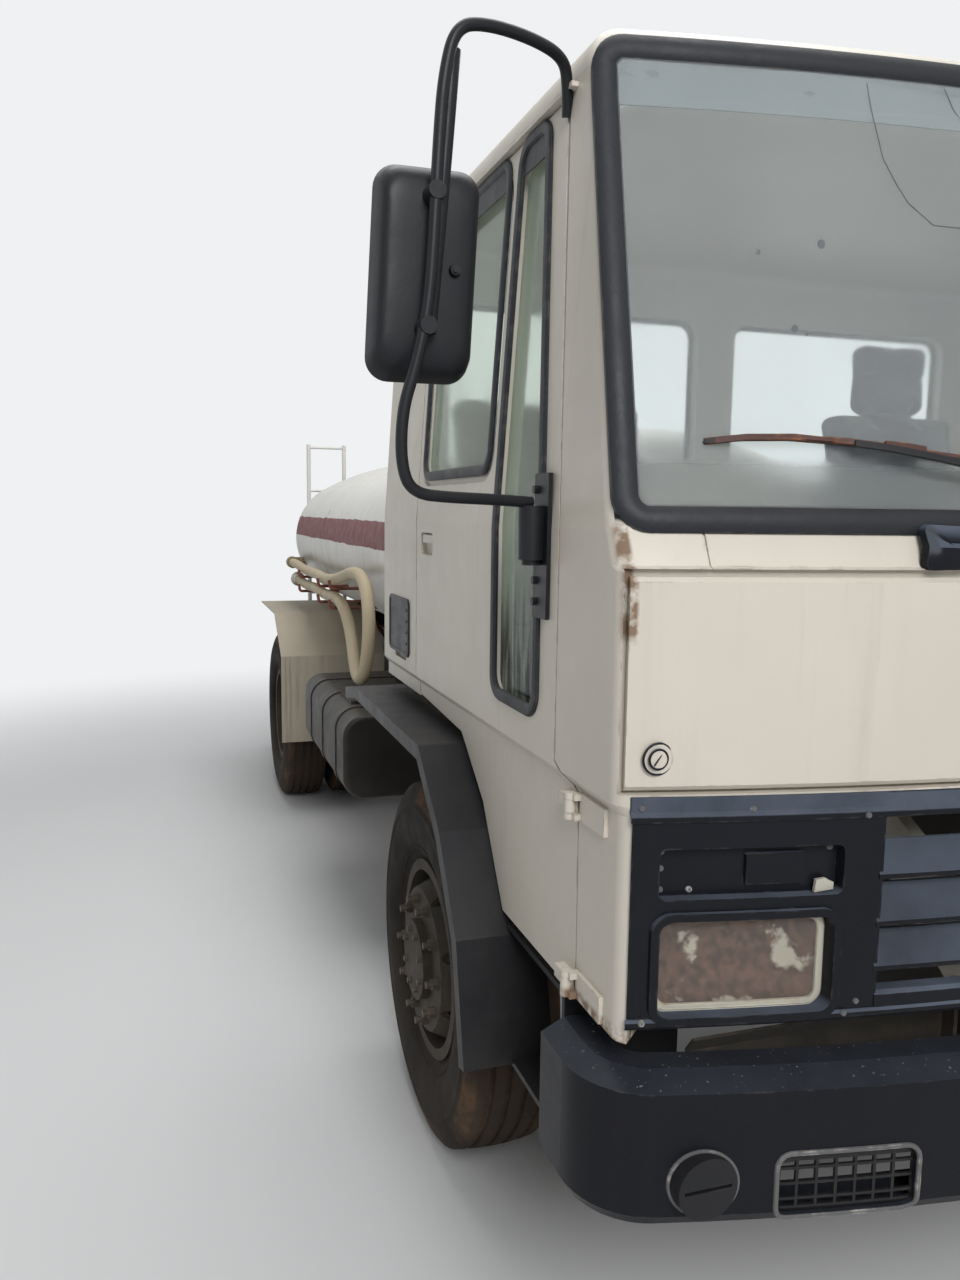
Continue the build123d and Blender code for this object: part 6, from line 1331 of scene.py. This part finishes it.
for side, sign in SIDES:
    low, high = (FRONT_AXLE_Y + VENT_Y[0], VENT_Z[0]), (FRONT_AXLE_Y + VENT_Y[1], VENT_Z[1])
    outline = rounded_box(low, high, VENT_ROUND)
    rim = [Vector((sign * UPPER_SIDE_X, y, z)) for y, z in outline]
    shapes = [filled_sheet(outline, vent_floor(sign), rings=4),
              swept_ring(rim, always(sign, 0, 0), bead_section(0.012, 0.006))]
    for count, length in enumerate(SLAT_LENGTHS):
        y, z = low[0] + 0.02, VENT_Z[0] + 0.03 + count * SLAT_GAP
        inner_x, outer_x = sign * (UPPER_SIDE_X + 0.002), sign * (UPPER_SIDE_X + 0.006)
        slat = [(inner_x, y, z), (inner_x, y, z + 0.012), (outer_x, y, z)]
        shapes.append(prism(slat, Vector((0, length, 0))))
    make_piece(f"side_vent_{side}", shapes, "cab", "plastic_black", sharp=30)
print("splash plate", PLATE_Z, "vents", VENT_Y, VENT_Z)

# %% [markdown]
# A truck tyre has ribs round it, worn low here, with straight grooves between them. The tyre is a
# profile turned round the axle's line: bead, sidewall with its raised rings, shoulder, and a tread whose
# grooves are real. It replaces the frame's plain ring and stands in the same place.

# %% Tyres with ribs and grooves
TREAD_HALF, BELLY_HALF, BEAD_HALF = 0.100, TYRE_WIDTH / 2, 0.093
BEAD_RADIUS, CROWN_DROP, SHOULDER_DROP = 0.257, 0.008, 0.024
GROOVES = (-0.066, -0.022, 0.022, 0.066)
GROOVE_HALF, GROOVE_DEPTH, GROOVE_SLOPE, RIB_MIDDLE = 0.0045, 0.009, 0.0025, 0.0135
TYRE_SEGMENTS = 112
RAISED_RINGS = (2, 10)
# how the names of the nodes and bodies begin, and the axle's line
WHEELS = (("_front", "front_wheel", FRONT_AXLE_Y), ("s_rear", "rear_wheels", REAR_AXLE_Y))


def through(first, middle, last, count):
    """Points of the circle through three points, from the first to the last."""
    (ax, ay), (bx, by), (cx, cy) = first, middle, last
    a_far, b_far, c_far = ax * ax + ay * ay, bx * bx + by * by, cx * cx + cy * cy
    twice_area = 2 * (ax * (by - cy) + bx * (cy - ay) + cx * (ay - by))
    ux = (a_far * (by - cy) + b_far * (cy - ay) + c_far * (ay - by)) / twice_area
    uy = (a_far * (cx - bx) + b_far * (ax - cx) + c_far * (bx - ax)) / twice_area
    radius = math.hypot(ax - ux, ay - uy)
    start, end = math.atan2(ay - uy, ax - ux), math.atan2(cy - uy, cx - ux)
    turns = [start + (end - start) * index / count for index in range(count + 1)]
    return [(ux + radius * math.cos(turn), uy + radius * math.sin(turn)) for turn in turns]


def tread_radius(x):
    """Radius of the worn tread at a distance from its middle."""
    return TYRE_RADIUS - CROWN_DROP * (x / TREAD_HALF) ** 2


belly_radius = (BEAD_RADIUS + TYRE_RADIUS - SHOULDER_DROP) / 2 + 0.01
wall = through((BEAD_HALF, BEAD_RADIUS + 0.028), (BELLY_HALF, belly_radius),
               (TREAD_HALF + 0.012, TYRE_RADIUS - SHOULDER_DROP), 14)
half_profile = [(BEAD_HALF, BEAD_RADIUS)]
for index, (x, r) in enumerate(wall):
    half_profile.append((x, r))
    if index in RAISED_RINGS:
        half_profile += [(x + 0.0025, r + 0.001), (x + 0.0025, r + 0.006), (x + 0.0005, r + 0.007)]
half_profile = [(min(x, BELLY_HALF), r) for x, r in half_profile]
crown = [(TREAD_HALF, TYRE_RADIUS - CROWN_DROP)]
for middle in reversed(GROOVES):
    outer, inner, rib = middle + GROOVE_HALF, middle - GROOVE_HALF, middle - GROOVE_HALF - RIB_MIDDLE
    crown += [(outer + GROOVE_SLOPE, tread_radius(outer)), (outer, tread_radius(outer) - GROOVE_DEPTH),
              (inner, tread_radius(inner) - GROOVE_DEPTH), (inner - GROOVE_SLOPE, tread_radius(inner)),
              (rib, tread_radius(rib))]
crown[-1] = (-TREAD_HALF, TYRE_RADIUS - CROWN_DROP)
profile = half_profile + crown + [(-x, r) for x, r in reversed(half_profile)]


def turned_ring(middle_x, axle_y):
    """The tyre's profile turned round its axle's line."""
    verts = []
    for index in range(TYRE_SEGMENTS):
        turn = 2 * math.pi * (index + 0.5) / TYRE_SEGMENTS
        for x, r in profile:
            verts.append(Vector((middle_x + x, axle_y + r * math.sin(turn), WHEEL_Z - r * math.cos(turn))))
    return verts, ring_faces(TYRE_SEGMENTS, len(profile))


for side, sign in SIDES:
    for end, carrier, axle_y in WHEELS:
        node = f"tyre{end}_{side}"
        low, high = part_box(node)
        twin = high[0] - low[0] >= TYRE_WIDTH * 1.5
        middles = [low[0] + TYRE_WIDTH / 2] + ([high[0] - TYRE_WIDTH / 2] if twin else [])
        rings = [turned_ring(x, axle_y) for x in middles]
        tyres = make_piece(f"{node}_ribbed", rings, f"{carrier}_{side}", "tyre_rubber", sharp=50)
        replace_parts(tyres, node)
print("tyre profile", len(profile), "points, 6 tyres")

# %% [markdown]
# Ten nuts hold each wheel. They stand in a ring on the disc, each with its stud's thread showing, and a
# smaller ring of bolts closes the hub. A line cast along the axle finds the disc under each nut.

# %% Wheel nuts and hub bolts
# how many, ring's radius, size of the nut, radius of the stud
NUT_RINGS = ((10, 0.1675, 0.0165, 0.011), (8, 0.085, 0.009, 0))
NUT_HEIGHT, STUD_PROUD = 1.1, 0.016
nut_finish = weathered(
    "wheel_nuts", (0.045, 0.037, 0.03), rough=0.6, metal=0.4, dusty=0.3, chipped=0.8,
    under=(0.14, 0.08, 0.05),
)
for side, sign in SIDES:
    for end, carrier, axle_y in WHEELS:
        node = f"wheel{end}_{side}"
        wheel_surface = surface_of(node)
        shapes = []
        for count, ring, nut, stud in NUT_RINGS:
            for index in range(count):
                turn = 2 * math.pi * (index + 0.5) / count
                y, z = axle_y + ring * math.sin(turn), WHEEL_Z + ring * math.cos(turn)
                hit = wheel_surface.ray_cast(Vector((sign * 1.6, y, z)), Vector((-sign, 0, 0)), 1.2)[0]
                if hit is None:
                    continue
                x, height = hit[0], nut * NUT_HEIGHT
                shapes.append(rod((x - sign * 0.001, y, z), (x + sign * height, y, z), nut, 6, nut * 0.93))
                if stud:
                    tip_x = x + sign * (height + STUD_PROUD)
                    shapes.append(rod((x, y, z), (tip_x, y, z), stud, 12, stud * 0.9))
        make_piece(f"{node}_nuts", shapes, f"{carrier}_{side}", "axle_iron", nut_finish, sharp=30)
        print(node, "nut seat x", round(x, 3), "shapes", len(shapes))

# %% [markdown]
# The tank is rolled from sheets, so a weld runs round it at each joint, and its ends are dished plates.
# The weld is a low bead. Lines cast inwards from all round find the tank's skin at each joint, and a
# joint whose ring isn't found nearly whole gets no bead.

# %% Weld seams on the tank
tank_surface = surface_of("water_tank")
tank_low, tank_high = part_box("water_tank")
TANK_MIDDLE_Z, SEAM_SHARES, SEAM_POINTS, SEAM_LEAST = 1.595, (0.06, 0.35, 0.65, 0.94), 96, 90


def off_the_tank(point):
    """The way out from the tank's oval skin."""
    return Vector((point[0] * 0.4, 0, point[2] - TANK_MIDDLE_Z))


seams = []
for share in SEAM_SHARES:
    y = tank_low[1] + (tank_high[1] - tank_low[1]) * share
    path = []
    for index in range(SEAM_POINTS):
        turn = 2 * math.pi * index / SEAM_POINTS
        away = Vector((math.cos(turn), 0, math.sin(turn)))
        hit = tank_surface.ray_cast(Vector((0, y, TANK_MIDDLE_Z)) + away * 1.3, -away, 1.3)[0]
        if hit and (not path or (hit - path[-1]).length < 0.12):
            path.append(hit)
    if len(path) > SEAM_LEAST:
        seams.append(swept_ring(path, off_the_tank, bead_section(0.012, 0.003)))
make_piece("tank_seams", seams, "chassis", "tank_white")
print(len(seams), "weld seams")

# %% [markdown]
# The seats are foam under cloth. Each pad, squab, back and headrest in one, starts as the frame's own
# solid, a little smaller. It is remade in small even faces and swelled by Cloth with an inner pressure,
# which rounds it and pulls its sides in between the corners. The sewn channels come after it, as shallow
# grooves pressed into the swelled pad.

# %% Padded seats
PAD_VOXEL, PAD_SHRINK, PAD_CAP, PAD_FRAMES, PAD_PRESSURE, PAD_FILL = 0.006, 0.008, 0.013, 20, 4.0, 0.6
CHANNEL_DEPTH, CHANNEL_WIDTH = 0.007, 0.009
BACK_FOOT, SQUAB_CHANNELS, BACK_CHANNELS = 1.68, (0.12, 0.27), (1.76, 1.88, 2.0, 2.26)


def loose_solids(mesh):
    """The separate closed parts of a mesh, each as its points and faces."""
    whole = bmesh.new()
    whole.from_mesh(mesh)
    bmesh.ops.remove_doubles(whole, verts=whole.verts, dist=1e-5)
    whole.verts.index_update()
    whole.verts.ensure_lookup_table()
    left, solids = set(range(len(whole.verts))), []
    while left:
        reached, front = set(), [min(left)]
        while front:
            index = front.pop()
            if index in reached:
                continue
            reached.add(index)
            vertex = whole.verts[index]
            front += [edge.other_vert(vertex).index for edge in vertex.link_edges]
        left -= reached
        order = {old: new for new, old in enumerate(sorted(reached))}
        verts = [whole.verts[old].co.copy() for old in sorted(reached)]
        own = [face for face in whole.faces if face.verts[0].index in reached]
        solids.append((verts, [[order[v.index] for v in face.verts] for face in own]))
    whole.free()
    return solids


def evaluated_mesh(piece):
    """The piece's mesh with its modifiers in effect."""
    depsgraph = bpy.context.evaluated_depsgraph_get()
    return bpy.data.meshes.new_from_object(piece.evaluated_get(depsgraph))


def remade_evenly(piece):
    """Remakes a pad in small even faces."""
    remesh = piece.modifiers.new("even_faces", "REMESH")
    remesh.mode = "VOXEL"
    remesh.voxel_size = PAD_VOXEL
    remade = evaluated_mesh(piece)
    piece.modifiers.clear()
    piece.data = remade


def swell(pieces):
    """Swells the pads from inside, all in one run, each point by no more than the cap."""
    starts = []
    for piece in pieces:
        starts.append([v.co.copy() for v in piece.data.vertices])
        cloth = piece.modifiers.new("swell", "CLOTH")
        cloth.settings.use_pressure = True
        cloth.settings.uniform_pressure_force = PAD_PRESSURE
        cloth.settings.effector_weights.gravity = 0
        cloth.point_cache.frame_start = 1
        cloth.point_cache.frame_end = PAD_FRAMES
    for frame_number in range(1, PAD_FRAMES + 1):
        scene.frame_set(frame_number)
    swelled = [evaluated_mesh(piece) for piece in pieces]
    for piece, start, mesh in zip(pieces, starts, swelled):
        piece.modifiers.clear()
        for vertex, origin in zip(mesh.vertices, start):
            moved = vertex.co - origin
            if moved.length > PAD_CAP:
                vertex.co = origin + moved * (PAD_CAP / moved.length)
        piece.data = mesh
    scene.frame_set(1)


def press_channels(mesh, low, middle, size):
    """Presses the sewn channels into a pad: across the squab, and across the back and headrest."""
    moves = []
    for vertex in mesh.vertices:
        place, facing = vertex.co, vertex.normal
        inside = max(0, min(1, (1 - abs(place[0] - middle[0]) / (size[0] / 2)) * 8))
        if place[2] > BACK_FOOT:
            along, channels, facing_out = place[2], BACK_CHANNELS, max(0, -facing[1])
        else:
            along, channels, facing_out = place[1], [low[1] + y for y in SQUAB_CHANNELS], max(0, facing[2])
        press = sum(math.exp(-((along - channel) / CHANNEL_WIDTH) ** 2) for channel in channels)
        moves.append(-facing * CHANNEL_DEPTH * press * inside * facing_out)
    for vertex, move in zip(mesh.vertices, moves):
        vertex.co += move


pads = []
for verts, faces in loose_solids(frame["nodes"]["seat_pads"].data):
    low = Vector([min(v[axis] for v in verts) for axis in range(3)])
    high = Vector([max(v[axis] for v in verts) for axis in range(3)])
    middle, size = (low + high) / 2, high - low
    for vertex in verts:
        for axis in range(3):
            share = 1 - 2 * PAD_SHRINK / size[axis]
            vertex[axis] = middle[axis] + (vertex[axis] - middle[axis]) * share
    person, cloth_used = ("driver", driver_cloth) if middle[0] > 0 else ("passenger", passenger_cloth)
    pad = make_piece(f"{person}_seat_pad", [(verts, faces)], "cab", "seat_cloth", cloth_used)
    remade_evenly(pad)
    pads.append((pad, low, middle, size, cloth_used))
swell([row[0] for row in pads])
for pad, low, middle, size, cloth_used in pads:
    press_channels(pad.data, low, middle, size)
    pad.data.polygons.foreach_set("use_smooth", [True] * len(pad.data.polygons))
    pad.data.materials.clear()
    pad.data.materials.append(cloth_used)
    print(pad.name, len(pad.data.polygons), "faces", [round(v, 3) for v in size])
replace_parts(pads[0][0], "seat_pads")
